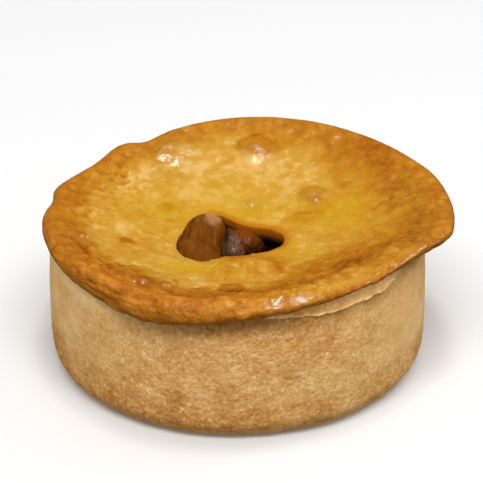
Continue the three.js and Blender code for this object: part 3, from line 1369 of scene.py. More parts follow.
    # Middle and width of lines along the flap's edge and the browning's start
    lip_line: Range = (1.6, 1.5)
    lip_shade: Range = (-0.4, 1.0)
    boundary_line: Range = (0.4, 0.3)

    # Heights of the relief; a pair is a plain height and what a share adds to it
    ripple_height: Range = (0.16, 0.24)
    dome_height: Range = (0.1, 0.3)
    lip_domes: Range = (0.3, 1.0)
    calm_share: Range = (0.25, 0.6)
    gloss_even: float = 0.85
    crinkle_height: float = 0.3
    crumb_height: float = 0.7
    pit_depth: float = 0.4

    # Shares of browning, painted light and shade, and gloss; a pair is a plain share and what another share
    # adds to it
    plain_toast: float = 0.22
    rim_toast: float = 0.4
    lower_darkening: float = 0.36
    crease_painted_shade: float = 0.75
    lip_painted_shadow: float = 0.46
    pit_toast: Range = (-0.12, 0.46)
    crumb_toast: Range = (0.04, 0.42)
    flap_fade_in: float = 0.7
    dome_middle: float = 0.45
    dome_painted_light: float = 0.26
    rib_paling: float = 0.9
    outer_dome: float = 0.4
    outer_painted_highlight: Range = (0.08, 0.6)
    lower_dulling: float = 0.4
    lower_bareness: float = 0.6
    painted_light_domes: Range = (0.3, 1.0)
    darkest: float = 0.9
    soak_share: float = 0.9
    plain_gloss: float = 0.06
    dome_gloss: float = 0.22

    def surface(self) -> tuple[Rings, LidSite]:
        """Rings out along the underside, up round the nose, in over the dish and down the vent.

        Returns:
            The surface, whose plan points blend from the vent's torn edge to the seat or the ridge and
            whose nose is half an ellipse, and the site of its points. The site's zone is 0 on the
            underside, 1 on the nose and top, and 1 to 2 down the vent; its tilt is the nose's, from -90
            to 90.
        """
        form = self.form
        angle = np.linspace(0.0, TURN, self.columns, endpoint=False)
        unit = np.stack((np.cos(angle), np.sin(angle)), axis=-1)
        ridge, top, under = form.ridge(angle), form.rim_top(angle), form.rim_under(angle)
        bare = form.vent_radius(angle)
        outline = np.concatenate((bare[:, None] * unit, np.zeros((self.columns, 1))), axis=-1)
        torn = bare + self.tear.over(self.grain, outline)
        edge = np.asarray((form.vent_x, form.vent_y)) + torn[:, None] * unit

        def blend(share: Array, outer: Array) -> Array:
            """Plan points at shares of the way from the vent's edge to an outer ring."""
            return edge + share[:, None, None] * (outer[None, :, None] * unit - edge)

        def lifted(plan: Array, height: Array) -> Array:
            """Plan points with their heights."""
            return np.concatenate((plan, height[..., None]), axis=-1)

        low = blend(np.linspace(0.0, 1.0, self.under_rows), np.full(self.columns, form.seat_radius))
        low = lifted(low, form.lid_underside(low[..., 0], low[..., 1]))
        tilt = np.linspace(-UPRIGHT, UPRIGHT, self.nose_rows)[:, None]
        reach = ridge + form.rim_nose * np.cos(tilt)
        rise = under + (top - under) * (0.5 + 0.5 * np.sin(tilt))
        nose = np.stack((reach * np.cos(angle), reach * np.sin(angle), rise), axis=-1)
        plan = blend(np.linspace(1.0, 0.0, self.top_rows + 1)[1:], ridge)
        away = np.hypot(plan[..., 0] - edge[:, 0], plan[..., 1] - edge[:, 1])
        drop = self.lip_drop * hump(away, 0.0, self.lip_round)
        dish = lifted(plan, form.lid_top(plan[..., 0], plan[..., 1]) - drop)
        down = np.linspace(0.0, 1.0, self.vent_rows + 2)[1:-1]
        vent = dish[-1] + down[:, None, None] * (low[0] - dish[-1])
        points = np.concatenate((low, nose, dish, vent))
        level = np.zeros(self.columns)
        rows = (self.under_rows, self.nose_rows, self.top_rows, self.vent_rows)
        first_top = self.under_rows + self.nose_rows
        zone = np.repeat((0.0, 1.0, 1.0, 1.0), rows)
        zone[-self.vent_rows :] += down
        lean = np.repeat((-90.0, 0.0, 90.0, 90.0), rows)
        lean[self.under_rows : first_top] = np.degrees(tilt[:, 0])
        gap = np.repeat((self.away_from_vent, self.away_from_vent, 0.0, 0.0), rows)[:, None] + level
        gap[first_top : first_top + self.top_rows] = away
        turn = np.arctan2(points[..., 1], points[..., 0])
        site = LidSite(points, zone[:, None] + level, lean[:, None] + level, turn, form.ridge(turn), gap)
        return Rings(points, Seam.JOINED), site

    def brown_zone(self, site: LidSite) -> Array:
        """Share of the rim's browning: an uneven ease outwards from where the browning starts.

        Args:
            site: Where the points lie.

        Returns:
            Shares from 0 in the dish to 1 on the rim.
        """
        start = self.brown_start + wave_sum(self.brown_starts, site.degrees)
        width = self.brown_width + wave_sum(self.brown_widths, site.degrees)
        uneven = noise_sum(self.brown_noises, self.grain, site.points)
        return smoothstep(start - width, start + width, site.radius / site.ridge + uneven)

    def on_top(self, site: LidSite) -> Array:
        """Share of the lid's top: an ease over the upper half of the nose, without the vent."""
        return (site.zone == 1.0) * smoothstep(*self.top_tilt, site.tilt)

    def uneven(self, site: LidSite) -> Array:
        """Noise that breaks up the outlines of spots and folds."""
        return self.outline_noise.over(self.grain, site.points)

    def pitting(self, site: LidSite) -> Array:
        """Share of small uneven pits: an ease over fine noise."""
        return smoothstep(*self.pit_share, self.pit_noise.over(self.grain, site.points))

    def drawn(self, site: LidSite) -> Array:
        """Places on the rim as a shortened angle, the inset and the height: noise is drawn out along it."""
        return np.stack((self.drawn_step * site.degrees, site.inset, site.points[..., 2]), axis=-1)

    def lumps(self, site: LidSite) -> Array:
        """Small domes of the browned rim, drawn out along it where it is folded.

        Args:
            site: Where the points lie.

        Returns:
            Shares from 0 between the domes to 1 on their tops: round cells, blended at the fold with
            drawn-out ones.
        """
        folded = self.drawn_out.over(site.degrees)
        plain = self.grain.bubbles(site.points, self.dome_size)
        return (1.0 - folded) * plain + folded * self.grain.bubbles(self.drawn(site), self.drawn_dome_size)

    def crinkles(self, site: LidSite) -> Array:
        """Thin folds of the browned rim: bells about the zero lines of coarse and of drawn-out noise.

        Args:
            site: Where the points lie.

        Returns:
            Strengths, 0 away from the folds.
        """
        coarse = hump(self.coarse_folds.over(self.grain, site.points), 0.0, self.coarse_fold_width)
        fine = hump(self.fine_folds.over(self.grain, self.drawn(site)), 0.0, self.fine_fold_width)
        return coarse + self.fine_fold_share * self.drawn_out.over(site.degrees) * fine

    def fibres(self, site: LidSite) -> Array:
        """Share of the fibrous front of the rim: a wave round the angle, eased out towards the dish."""
        return self.fibrous.over(site.degrees) * smoothstep(*self.fibre_inset, site.inset)

    def striae(self, site: LidSite) -> Array:
        """Fine ribs up the front of the rim: noise over the angle, drawn out along the nose's tilt."""
        spread = np.stack((site.degrees, self.rib_step * site.tilt, 0.0 * site.x), axis=-1)
        return self.fibres(site) * self.rib_noise.over(self.grain, spread)

    def wrinkles(self, site: LidSite, inset: Array) -> Array:
        """Wrinkles across the rim's right: noise over the angle, drawn out along the radius.

        Args:
            site: Where the points lie.
            inset: How far they lie inside the uneven ridge.

        Returns:
            Heights, 0 away from the wrinkles.
        """
        round_step, out_step = self.spoke_steps
        spokes = np.stack((round_step * site.degrees, out_step * site.radius, 0.0 * site.x), axis=-1)
        share = self.wrinkled.over(site.degrees) * smoothstep(*self.wrinkle_inset, inset)
        return share * self.spoke_noise.over(self.grain, spokes)

    def lower_edge(self, site: LidSite) -> Array:
        """Share of the darker lower edge of the nose: an ease over its lowest millimetres."""
        above = site.points[..., 2] - self.form.rim_under(site.angle)
        return smoothstep(*self.lower_height, above) * smoothstep(*self.lower_tilt, site.tilt)

    def flap_edge(self, site: LidSite) -> Array:
        """Distance past the flap's uneven inner edge, in edge widths."""
        share = site.radius / site.ridge + self.flap_wobble * self.uneven(site)
        return self.flap.past_edge(site.degrees, share)

    def flap_fade(self, site: LidSite) -> Array:
        """Share of the flap that is left towards its soft right end."""
        return smoothstep(*self.flap_end, site.degrees)

    def folds(self, site: LidSite) -> Array:
        """Height of the flap that is folded back over the dish, with a bubbly lip along its inner edge.

        Args:
            site: Where the points lie.

        Returns:
            Heights, 0 away from the flap.
        """
        past = self.flap_edge(site)
        domes = self.grain.bubbles(site.points + self.lip_dome_shift, self.lip_dome_size)
        lip = self.lip_height * hump(past, *self.lip_line) * rising(self.lip_domes, domes)
        return (self.flap_rise * smoothstep(*self.flap_fold, past) + lip) * self.flap_fade(site)

    def relief(self, site: LidSite, rim: Array) -> tuple[Array, Array]:
        """Height of the lid's bumps, and how deep its creases are.

        Args:
            site: Where the points lie.
            rim: Share of the rim's browning.

        Returns:
            Heights out from the plain surface, and the depths of the creases among them.
        """
        points, x, y, degrees = site.points, site.x, site.y, site.degrees
        wobble = self.uneven(site)
        inset = site.inset + self.inset_drift.over(self.grain, points)
        top = self.on_top(site)
        creased = sum(crease.over(x, y) for crease in self.creases)
        creased = creased + sum(groove.over(degrees, inset) for groove in self.grooves)
        doubled = hump(site.tilt, self.double_edge_tilt, self.double_edge_spread)
        doubled = doubled * wave_sum(self.double_edges, degrees)
        front = smoothstep(*self.crinkle_tilt, site.tilt) * smoothstep(*self.crinkle_front, y)
        creased = creased * top + self.crinkle_height * rim * self.crinkles(site) * front
        domes = sum(blister.relief(x, y, wobble) for blister in self.blisters)
        hills = self.hills.over(self.grain, points)
        hills = hills + rising(self.ripple_height, rim) * self.ripples.over(self.grain, points)
        bubbles = rising(self.dome_height, rim) * self.lumps(site)
        crumbs = self.crumb_height * self.crumbly.over(x, y) * self.crumb_noise.over(self.grain, points)
        pits = self.pit_depth * bell_sum(self.pitted, x, y) * self.pitting(site)
        calm = rising(self.calm_share, smoothstep(*self.calm_back, y))
        calm = 1.0 - smoothstep(*self.calm_inset, inset) * calm
        even = 1.0 - self.gloss_even * np.clip(bell_sum(self.glossy, x, y), 0.0, 1.0)
        shown = (site.zone >= 1.0) * smoothstep(*self.shown_tilt, site.tilt)
        raised = domes + crumbs - pits + self.wrinkles(site, inset) + self.folds(site)
        raised = top * (raised + self.front_roll.over(degrees, inset))
        height = calm * (hills + even * bubbles) + even * self.striae(site) + raised - creased - doubled
        return shown * height, creased

    def browning(self, site: LidSite, rim: Array, creased: Array, tops: Array) -> Array:
        """Browning of the lid: the plain toast, plus the rim's, spots, clouds, pits, folds and creases, with
        painted shade in the creases, behind the front roll and inside the flap's lip, and painted light that
        pales the roll's crest and the tops of the rim's domes.

        Args:
            site: Where the points lie.
            rim: Share of the rim's browning.
            creased: Depths of the creases.
            tops: Shares of the rim's small domes, whose tops are paled as painted highlights.

        Returns:
            Browning, mostly from 0 to 1.
        """
        points, x, y, degrees, inset = site.points, site.x, site.y, site.degrees, site.inset
        wobble, top, past = self.uneven(site), self.on_top(site), self.flap_edge(site)
        lower, left = self.lower_edge(site), self.left_nose.over(degrees)
        folded = self.flap_toast * smoothstep(*self.flap_shade, past) * (1.0 - self.flap_fade_in * rim)
        # Painted shadow: a dark line just inside the flap's lip, where the step shades the dish.
        folded = (folded + self.lip_painted_shadow * hump(past, *self.lip_shade) * top) * self.flap_fade(site)
        folded = folded + self.boundary.over(degrees) * hump(rim, *self.boundary_line)
        spots = sum(blister.toasting(x, y, wobble) for blister in self.blisters) * top
        pits = bell_sum(self.pitted, x, y) * rising(self.pit_toast, self.pitting(site))
        # Darker towards the nose's lower edge, except on the left.
        toast = self.plain_toast + self.rim_toast * rim + self.lower_darkening * lower * (1.0 - left)
        toast = toast + spots + noise_sum(self.toast_noises, self.grain, points) + pits + folded
        # Painted shade in the creases: the deeper the crease, the darker.
        toast = toast + self.crease_painted_shade * creased + bell_sum(self.pale_places, x, y)
        # Painted light and shade of the rim's domes: paler on their tops, darker between them.
        toast = toast - self.dome_painted_light * rim * (tops - self.dome_middle)
        toast = toast - self.rib_paling * self.striae(site)
        # Painted highlights: the domes on the outer left nose are paler.
        outer = left * smoothstep(*self.outer_inset, inset)
        toast = toast - outer * rising(self.outer_painted_highlight, np.maximum(tops - self.outer_dome, 0.0))
        # Painted light: the crest of the front roll is paler.
        toast = toast - (1.0 - lower) * self.crest_painted_light.over(degrees, inset)
        # Painted shade in the dark crease behind the roll's crest.
        toast = toast + self.roll_foot_painted_shade.over(degrees, inset)
        crumbs = rising(self.crumb_toast, self.crumb_noise.over(self.grain, points))
        return toast + self.crumbly.over(x, y) * crumbs

    def colours(self, site: LidSite, rim: Array, creased: Array) -> dict[str, Array]:
        """Attributes that colour the lid.

        Args:
            site: Where the points lie.
            rim: Share of the rim's browning.
            creased: Depths of the creases.

        Returns:
            The browning, the lemon tint, the painted light of the nose and painted sheen of the far rim, the
            crust of the rim, the fibres of its front, the gloss, the gravy's soak and the depth down the
            vent, which paints shade there, each from 0 to 1.
        """
        x, y = site.x, site.y
        wobble, lower, tops = self.uneven(site), self.lower_edge(site), self.lumps(site)
        browning = self.darkest * np.tanh(self.browning(site, rim, creased, tops) / self.darkest)
        # Painted light: a pinkish tan that lifts the shaded nose and its dome tops, and paints sheen on the
        # far rim.
        painted_light_tint = wave_sum(self.painted_light_waves, site.degrees) * rising(self.painted_light_domes, tops)
        nose = 1.0 - self.lower_dulling * lower * (1.0 - self.left_nose.over(site.degrees))
        nose = nose * smoothstep(*self.nose_inset, site.inset)
        gloss = self.plain_gloss + self.dome_gloss * rim * smoothstep(*self.gloss_domes, tops)
        gloss = np.clip(gloss + bell_sum(self.glossy, x, y), 0.0, 1.0)
        edge = smoothstep(*self.soak_gap, site.vent_gap + self.soak_wobble * wobble)
        edge = edge * smoothstep(*self.soak_side, x)
        inside = (site.zone != 1.0) * (site.radius < self.soak_radius)
        # Painted shade: how far down the vent a point lies, which darkens the gravy there.
        deep = smoothstep(*self.depth_zone, site.zone + self.depth_wobble * wobble)
        return {
            "browning": np.clip(browning, 0.0, 1.0),
            "lemon": np.clip(bell_sum(self.lemons, x, y) * (1.0 - rim), 0.0, 1.0),
            "painted_light_tint": np.clip(painted_light_tint * nose, 0.0, 1.0),
            "crust": rim * (1.0 - self.lower_bareness * lower),
            "fibres": self.fibres(site),
            "gloss": gloss * smoothstep(*self.gloss_gap, site.vent_gap),
            "soak": np.maximum(self.soak_share * edge, inside),
            "depth": deep * (site.zone > 1.0),
        }

    def build(self) -> bpy.types.Object:
        """Build the lid with its relief and the attributes that colour it.

        Returns:
            The lid's object, dressed.
        """
        base, site = self.surface()
        rim = self.brown_zone(site)
        height, creased = self.relief(site, rim)
        made = base.raised(height)
        made.attributes.update(self.colours(site, rim, creased))
        lid = made.to_object("glazed_lid")
        lid.data.materials.append(self.finish.material())
        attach(lid, BODY)
        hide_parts("pastry_lid")
        return lid


@dataclass
class CaseSite:
    """Where each point of the case's grid lies, and how strong the ledge and the grain are there."""

    points: Array
    outside: Array
    degrees: Array
    drop: Array
    ragged: Array
    depth: Array
    ledge: Array
    grit: Array

    @property
    def z(self) -> Array:
        """Heights above the base."""
        return self.points[..., 2]

    @property
    def below(self) -> Array:
        """Distances below the ledge's torn edge, or below the rim where there is no ledge."""
        return self.drop - self.depth


@dataclass
class PastryCase:
    """Raised case with a grainy wall, a round base edge and a torn ledge under the rim."""

    form: PieForm
    finish: BakedCrust = field(default_factory=BakedCrust)

    # Grid
    columns: int = 620
    wall_rows: int = 84
    head_rows: int = 44
    head_depth: float = 6.0
    edge_rows: int = 14
    shoulder_rows: int = 5
    shoulder_share: float = 0.1
    base_shares: tuple[float, ...] = (0.25, 0.5, 0.75, 0.92)
    corner_shares: tuple[float, ...] = (0.5, 0.13, 0.0)
    grain: Grain = field(default_factory=lambda: Grain(23))

    # Torn ledge
    ledge_depth: float = 3.7
    ledge_left: Range = (-92.0, -56.0)
    ledge_right: Range = (-22.0, -46.0)
    ledge_shown: Range = (-26.0, -42.0)
    ledge_edge: Range = (0.16, -0.16)
    ledge_start: Range = (0.3, 1.0)
    ledge_reach: Wave = Wave(-54, 14, 14, 0.9)
    ledge_curl: Range = (0.45, 0.55)
    ragged_depth: Range = (1.0, 0.4)
    ragged_reach: Range = (1.0, 0.25)
    least_depth: float = 0.5
    ledge_shadow_line: Range = (0.6, 0.8)
    ledge_shadow_depth: Range = (1.6, 3.2)
    torn_width: Range = (0.9, 0.1)

    # Smooth and pale sides, and the sides that get painted light under the rim instead of the painted rim
    # shadow
    smooth_sides: tuple[Wave, ...] = (Wave(-165, 40, 22, 0.75), Wave(-18, 22, 40, 0.75))
    smooth_heights: Range = (8.0, 16.0)
    pale_foot: Wave = Wave(-38, 22, 30, 0.22)
    pale_foot_heights: Range = (22.0, 10.0)
    painted_light_sides: tuple[Wave, ...] = (Wave(-140, 36, 20, 1.0), Wave(-52, 16, 14, 0.8))

    # Stretches of the height, or of the drop below the rim, over which a feature comes in
    relief_heights: Range = (0.2, 2.0)
    toast_heights: Range = (18.0, 4.0)
    sole_heights: Range = (4.0, 0.0)
    painted_shadow_drop: Range = (5.6, 1.0)
    painted_light_drop: Range = (6.0, 1.0)

    # Random fields
    ledge_noise: Noise = Noise(1.0, 4.0, 5)
    wobbles: tuple[Noise, ...] = (Noise(0.3, 24.0, 1), Noise(0.14, 8.0, 1))
    roughness: Noise = Noise(0.16, 2.4)
    toast_noise: Noise = Noise(0.16, 7.0, 3, 60.0)
    bump_height: float = 0.1
    bump_size: float = 1.6

    # Shares of toast, painted shadow and painted light
    plain_toast: float = 0.5
    foot_toast: float = 0.2
    sole_painted_light: float = 0.24
    smooth_paling: float = 0.3
    painted_shadow_toast: float = 0.34
    ledge_shadow_toast: float = 0.12
    painted_light_lift: float = 0.35
    ledge_toast: float = 0.2
    torn_edge_painted_highlight: float = 0.34
    painted_shadow_dimming: float = 0.3
    # Painted light that lifts the ledge, which lies in the rim's shadow.
    ledge_painted_light: float = 0.22

    def surface(self) -> Rings:
        """Rings up the outside from the base, over the top edge and down the inside to the floor.

        Returns:
            The surface, with 1 on the outside and 0 inside as an attribute.
        """
        form = self.form
        angle = np.linspace(0.0, TURN, self.columns, endpoint=False)
        level = np.zeros(self.columns)
        top = form.rim_under(angle) - form.gap
        flat = form.case_radius(np.zeros(1)) * np.asarray(self.base_shares)[:, None]
        tilt = np.linspace(0.0, UPRIGHT, self.edge_rows)[:, None]
        edge_z = form.base_edge * (1.0 - np.cos(tilt))
        wall_share = np.linspace(0.0, 1.0, self.wall_rows + 1)[1:, None]
        wall_z = form.base_edge + wall_share * (top - self.head_depth - form.base_edge)
        head_z = top - self.head_depth * np.linspace(1.0, self.shoulder_share, self.head_rows)[1:, None]
        shoulder = np.linspace(0.0, UPRIGHT, self.shoulder_rows + 1)[1:, None]
        round_off = self.shoulder_share * self.head_depth
        shoulder_z = top - round_off * (1.0 - np.sin(shoulder))
        inside_z = np.asarray((0.5 * form.top_height, form.floor_thick + form.inner_corner))[:, None]
        corner_z = form.floor_thick + form.inner_corner * np.asarray(self.corner_shares)[:, None]
        rings = (
            (flat, 0.0 * flat),
            (form.case_radius(edge_z), edge_z),
            (form.case_radius(wall_z), wall_z),
            (form.case_radius(head_z), head_z),
            (form.case_radius(shoulder_z) - round_off * (1.0 - np.cos(shoulder)), shoulder_z),
            (form.hollow_radius(top)[None], top[None]),
            (form.hollow_radius(inside_z), inside_z),
            (form.hollow_radius(corner_z), corner_z),
        )
        radius = np.concatenate([ring[0] + level for ring in rings])
        height = np.concatenate([ring[1] + level for ring in rings])
        made = Rings.round_axis(radius, height, angle, Seam.POLES)
        outside = sum(len(ring[1]) for ring in rings[:5])
        made.attributes["outside"] = (np.arange(len(radius)) < outside)[:, None] + level
        return made

    def site(self, base: Rings) -> CaseSite:
        """Find where the points lie against the rim, the torn ledge and the smooth sides.

        Args:
            base: The plain surface, which gives up its attribute.

        Returns:
            The site: the ledge is an ease over the drop below the rim, down to an uneven depth.
        """
        points = base.points
        angle = np.arctan2(points[..., 1], points[..., 0])
        degrees, z = np.degrees(angle), points[..., 2]
        drop = self.form.rim_under(angle) - self.form.gap - z
        ragged = self.ledge_noise.over(self.grain, np.stack((degrees, 0.0 * z, 0.0 * z), axis=-1))
        depth = smoothstep(*self.ledge_left, degrees) * smoothstep(*self.ledge_right, degrees)
        depth = self.ledge_depth * depth * rising(self.ragged_depth, ragged)
        ledge = smoothstep(*self.ledge_edge, drop - depth) * smoothstep(*self.ledge_start, depth)
        ledge = ledge * smoothstep(*self.ledge_shown, degrees)
        grit = 1.0 - wave_sum(self.smooth_sides, degrees) * smoothstep(*self.smooth_heights, z)
        return CaseSite(points, base.attributes.pop("outside"), degrees, drop, ragged, depth, ledge, grit)

    def relief(self, site: CaseSite) -> Array:
        """Height of the wall's grain and of the ledge, which curls out towards its torn edge.

        Args:
            site: Where the points lie.

        Returns:
            Heights out from the plain surface.
        """
        down = np.clip(site.drop / np.maximum(site.depth, self.least_depth), 0.0, 1.0)
        flare = site.ledge * self.ledge_reach.over(site.degrees) * rising(self.ledge_curl, down**2)
        flare = flare * rising(self.ragged_reach, site.ragged)
        bumps = self.bump_height * self.grain.bubbles(site.points, self.bump_size)
        rough = site.grit * (self.roughness.over(self.grain, site.points) + bumps)
        wall = noise_sum(self.wobbles, self.grain, site.points) + rough
        return site.outside * (smoothstep(*self.relief_heights, site.z) * wall + flare)

    def colours(self, site: CaseSite) -> dict[str, Array]:
        """Attributes that colour the case.

        Args:
            site: Where the points lie.

        Returns:
            The toast and the grit, from 0 to 1, and the shade: a factor that dims the colour in the painted
            shadow under the rim and lifts it with painted light on the ledge, 1 where the colour stays as it
            is.
        """
        z, ledge = site.z, site.ledge
        # Share of the wall that takes the painted rim shadow; the sides left open get painted light under
        # the rim instead.
        shaded = 1.0 - np.minimum(wave_sum(self.painted_light_sides, site.degrees), 1.0)
        # Painted shadow of the rim's overhang: browned and dimmed just below the rim, or just below the
        # ledge where there is one.
        painted_rim_shadow = smoothstep(*self.painted_shadow_drop, site.below) * (1.0 - ledge) * shaded
        # Painted shadow: a dark line on the wall just below the ledge's torn edge.
        line = hump(site.below, *self.ledge_shadow_line) * smoothstep(*self.ledge_shadow_depth, site.depth)
        # Painted highlight: the ledge is paler along its lit torn edge.
        torn = ledge * smoothstep(*self.torn_width, site.depth - site.drop)
        toast = self.plain_toast + self.foot_toast * smoothstep(*self.toast_heights, z)
        # Painted light: the lowest millimetres of the wall are paler, standing in for light bounced up from
        # the floor.
        toast = toast - self.sole_painted_light * smoothstep(*self.sole_heights, z)
        # Paler smooth sides: the smoother crust's own paler tone, and painted light that lifts the sides
        # where the lamps fall away.
        toast = toast - self.smooth_paling * (1.0 - site.grit)
        toast = toast + self.painted_shadow_toast * painted_rim_shadow + self.ledge_shadow_toast * line
        # Painted light: the wall just under the rim is paler on those open sides.
        toast = toast - self.painted_light_lift * (1.0 - shaded) * smoothstep(*self.painted_light_drop, site.drop)
        toast = toast - self.pale_foot.over(site.degrees) * smoothstep(*self.pale_foot_heights, z)
        toast = toast + self.toast_noise.over(self.grain, site.points)
        toast = toast + self.ledge_toast * ledge - self.torn_edge_painted_highlight * torn
        return {
            "toast": np.clip(toast, 0.0, 1.0),
            "grit": np.clip(site.grit, 0.0, 1.0),
            # Shade: dims the painted rim shadow and lifts the ledge with painted light.
            "shade": 1.0 - self.painted_shadow_dimming * painted_rim_shadow + self.ledge_painted_light * ledge,
        }

    def build(self) -> bpy.types.Object:
        """Build the case with its grainy wall, its ledge and its toasting.

        Returns:
            The case's object, dressed.
        """
        base = self.surface()
        site = self.site(base)
        made = base.raised(self.relief(site))
        made.attributes.update(self.colours(site))
        case = made.to_object("baked_case")
        case.data.materials.append(self.finish.material())
        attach(case, BODY)
        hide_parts("pastry_case")
        return case


@dataclass(frozen=True)
class Chunk:
    """Lump of the filling: ellipsoids that melt together round a common middle, with a rough skin."""

    name: str
    middle: Vector
    parts: tuple[tuple[Vector, Vector], ...]
    finish: GravyCoat
    rough: float
    seed: int
    blend: float = 8.0
    strand: Vector = (1.0, 0.3, 0.3)
    crown_axis: Vector = (0.0, 0.0, 1.0)
    skin: tuple[Noise, ...] = (Noise(1.0, 4.0), Noise(0.3, 1.2, 1))
    strands: Noise = Noise(0.6, 1.5, 2)
    rows: int = 90
    columns: int = 140

    def build(self) -> bpy.types.Object:
        """Build the lump: each ray from the middle reaches a soft maximum of the ellipsoids, plus noise.

        Returns:
            The lump's object, dressed.
        """
        tilt = np.linspace(-UPRIGHT, UPRIGHT, self.rows + 2)[1:-1, None]
        turn = np.linspace(0.0, TURN, self.columns, endpoint=False)
        level = np.zeros(self.columns)
        ray = Rings.round_axis(np.cos(tilt) + level, np.sin(tilt) + level, turn, Seam.POLES).points
        middle = np.asarray(self.middle)
        reach = np.zeros(ray.shape[:2])
        for centre, radii in self.parts:
            step = ray / np.asarray(radii)
            start = (middle - np.asarray(centre)) / np.asarray(radii)
            square = (step**2).sum(axis=-1)
            half = (step * start).sum(axis=-1)
            root = np.sqrt(np.maximum(half**2 + square * (1.0 - (start**2).sum()), 0.0))
            reach = reach + np.maximum((root - half) / square, 0.0) ** self.blend
        reach = reach ** (1.0 / self.blend)
        grain = Grain(self.seed)
        points = middle + reach[..., None] * ray
        skin = noise_sum(self.skin, grain, points)
        skin = skin + self.strands.over(grain, points * np.asarray(self.strand))
        made = Rings(middle + (reach + self.rough * skin)[..., None] * ray, Seam.POLES)
        height = made.points @ np.asarray(self.crown_axis)
        made.attributes["rise"] = (height - height.min()) / (height.max() - height.min())
        lump = made.to_object(self.name)
        lump.data.materials.append(self.finish.material())
        return lump


@dataclass
class Filling:
    """Gravy under the lid, sunk to a pit at the right of the vent, and the lumps that stand in the vent."""

    form: PieForm
    pit: Bell = Bell(9.0, -1.6, 5.4, 4.4, 11.0)
    columns: int = 300
    fine_radius: float = 20.0
    outer_rows: int = 15
    inner_rows: int = 90
    side_rows: int = 4
    last_ring: float = 0.01
    floor_shares: tuple[float, ...] = (0.4, 0.8)
    ripple: Noise = Noise(0.5, 4.0)
    sunk: float = 0.5
    grain: Grain = field(default_factory=lambda: Grain(37))
    # Near black deep under the lid as painted shade; browner only where the bed rises close to the lid.
    gravy: GravyCoat = GravyCoat(
        "gravy",
        screen_colour(4, 1, 0),
        screen_colour(8, 3, 1),
        screen_colour(90, 42, 4),
        crown_start=0.85,
        grain=3.0,
    )
    # Darker lower down towards the void as painted shade, amber on its lit crown.
    bank: GravyCoat = GravyCoat(
        "gravy_bank",
        screen_colour(36, 15, 1),
        screen_colour(72, 32, 2),
        screen_colour(116, 58, 3),
        crown_start=0.6,
        grain=1.8,
        wetness=0.08,
    )
    # The pale mauve crown of the lump is a painted sheen on its top.
    potato: GravyCoat = GravyCoat(
        "gravy_on_potato",
        screen_colour(82, 41, 2),
        screen_colour(121, 67, 6),
        screen_colour(172, 120, 76),
        crown_start=0.9,
        grain=1.8,
        stretch=(1.0, 0.3, 0.3),
        wetness=1.0,
    )
    # The lighter crown on the chunk's right side is painted light.
    meat: GravyCoat = GravyCoat(
        "braised_meat",
        screen_colour(42, 25, 15),
        screen_colour(82, 51, 34),
        screen_colour(114, 72, 49),
        crown_start=0.5,
        grain=1.8,
        stretch=(1.0, 0.3, 0.3),
        wetness=0.6,
    )

    def chunks(self) -> tuple[Chunk, ...]:
        """Lumps that stand in the vent.

        Returns:
            The potato, the meat and the bank of gravy.
        """
        return (
            Chunk(
                "potato_lump",
                (-8.4, 2.2, 26.2),
                (
                    ((-9.6, 5.6, 27.6), (4.2, 7.4, 5.0)),
                    ((-6.6, 6.6, 27.8), (3.9, 6.6, 5.0)),
                    ((-10.6, -3.4, 26.2), (6.6, 10.2, 4.8)),
                ),
                self.potato,
                rough=0.45,
                seed=5,
                crown_axis=(0.2, 0.1, 1.0),
            ),
            Chunk(
                "meat_chunk",
                (-1.8, 4.6, 24.8),
                (((-1.8, 4.6, 24.8), (4.0, 6.4, 4.4)),),
                self.meat,
                rough=0.7,
                seed=7,
                crown_axis=(1.0, 0.0, 0.3),
            ),
            Chunk(
                "gravy_bank",
                (2.2, 8.0, 24.0),
                (((2.2, 8.0, 24.0), (5.2, 5.6, 5.0)),),
                self.bank,
                rough=0.5,
                seed=13,
            ),
        )

    def bed(self) -> Rings:
        """Rings from the floor's middle up the side and in under the lid to the middle of the top.

        Returns:
            The surface: the top is the lid's underside less a gap, sunk by the pit and rippled.
        """
        form = self.form
        angle = np.linspace(0.0, TURN, self.columns, endpoint=False)
        level = np.zeros(self.columns)
        floor = form.floor_thick + form.gap
        corner = form.inner_corner * np.linspace(0.0, 1.0, self.side_rows) ** 2
        side_z = np.append(floor + corner, 0.5 * form.top_height)
        side_r = form.hollow_radius(side_z) - form.gap
        low_r = np.asarray(self.floor_shares) * side_r[0]
        rim = np.minimum(form.hollow_radius(form.rim_under(angle)), form.seat_radius) - form.gap
        outer = np.linspace(1.0, 0.0, self.outer_rows + 1)[:-1, None] * (rim - self.fine_radius)
        inner = np.linspace(1.0, self.last_ring, self.inner_rows)[:, None] * self.fine_radius
        top_r = np.concatenate((outer + self.fine_radius, inner + level))
        x, y = top_r * np.cos(angle), top_r * np.sin(angle)
        ripple = self.ripple.over(self.grain, np.stack((x, y, 0.0 * x), axis=-1)) - self.sunk
        top_z = form.lid_underside(x, y) - 2.0 * form.gap - self.pit.over(x, y) + ripple
        radius = np.concatenate((low_r[:, None] + level, side_r[:, None] + level, top_r))
        low_z = np.full((len(low_r), self.columns), floor)
        height = np.concatenate((low_z, side_z[:, None] + level, top_z))
        made = Rings.round_axis(radius, height, angle, Seam.POLES)
        lowest, highest = top_z.min(), form.lid_dip - form.lid_thick
        made.attributes["rise"] = np.clip((height - lowest) / (highest - lowest), 0.0, 1.0)
        return made

    def build(self) -> list[bpy.types.Object]:
        """Build the bed and the lumps.

        Returns:
            The filling's objects, dressed.
        """
        bed = self.bed().to_object("gravy_bed")
        bed.data.materials.append(self.gravy.material())
        pieces = [bed, *(chunk.build() for chunk in self.chunks())]
        for piece in pieces:
            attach(piece, BODY)
            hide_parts("filling")
        return pieces


@dataclass(frozen=True)
class Lamp:
    """Soft oblong light aimed at the pie; lengths in metres."""

    name: str
    place: Vector
    width: float
    depth: float
    power: float


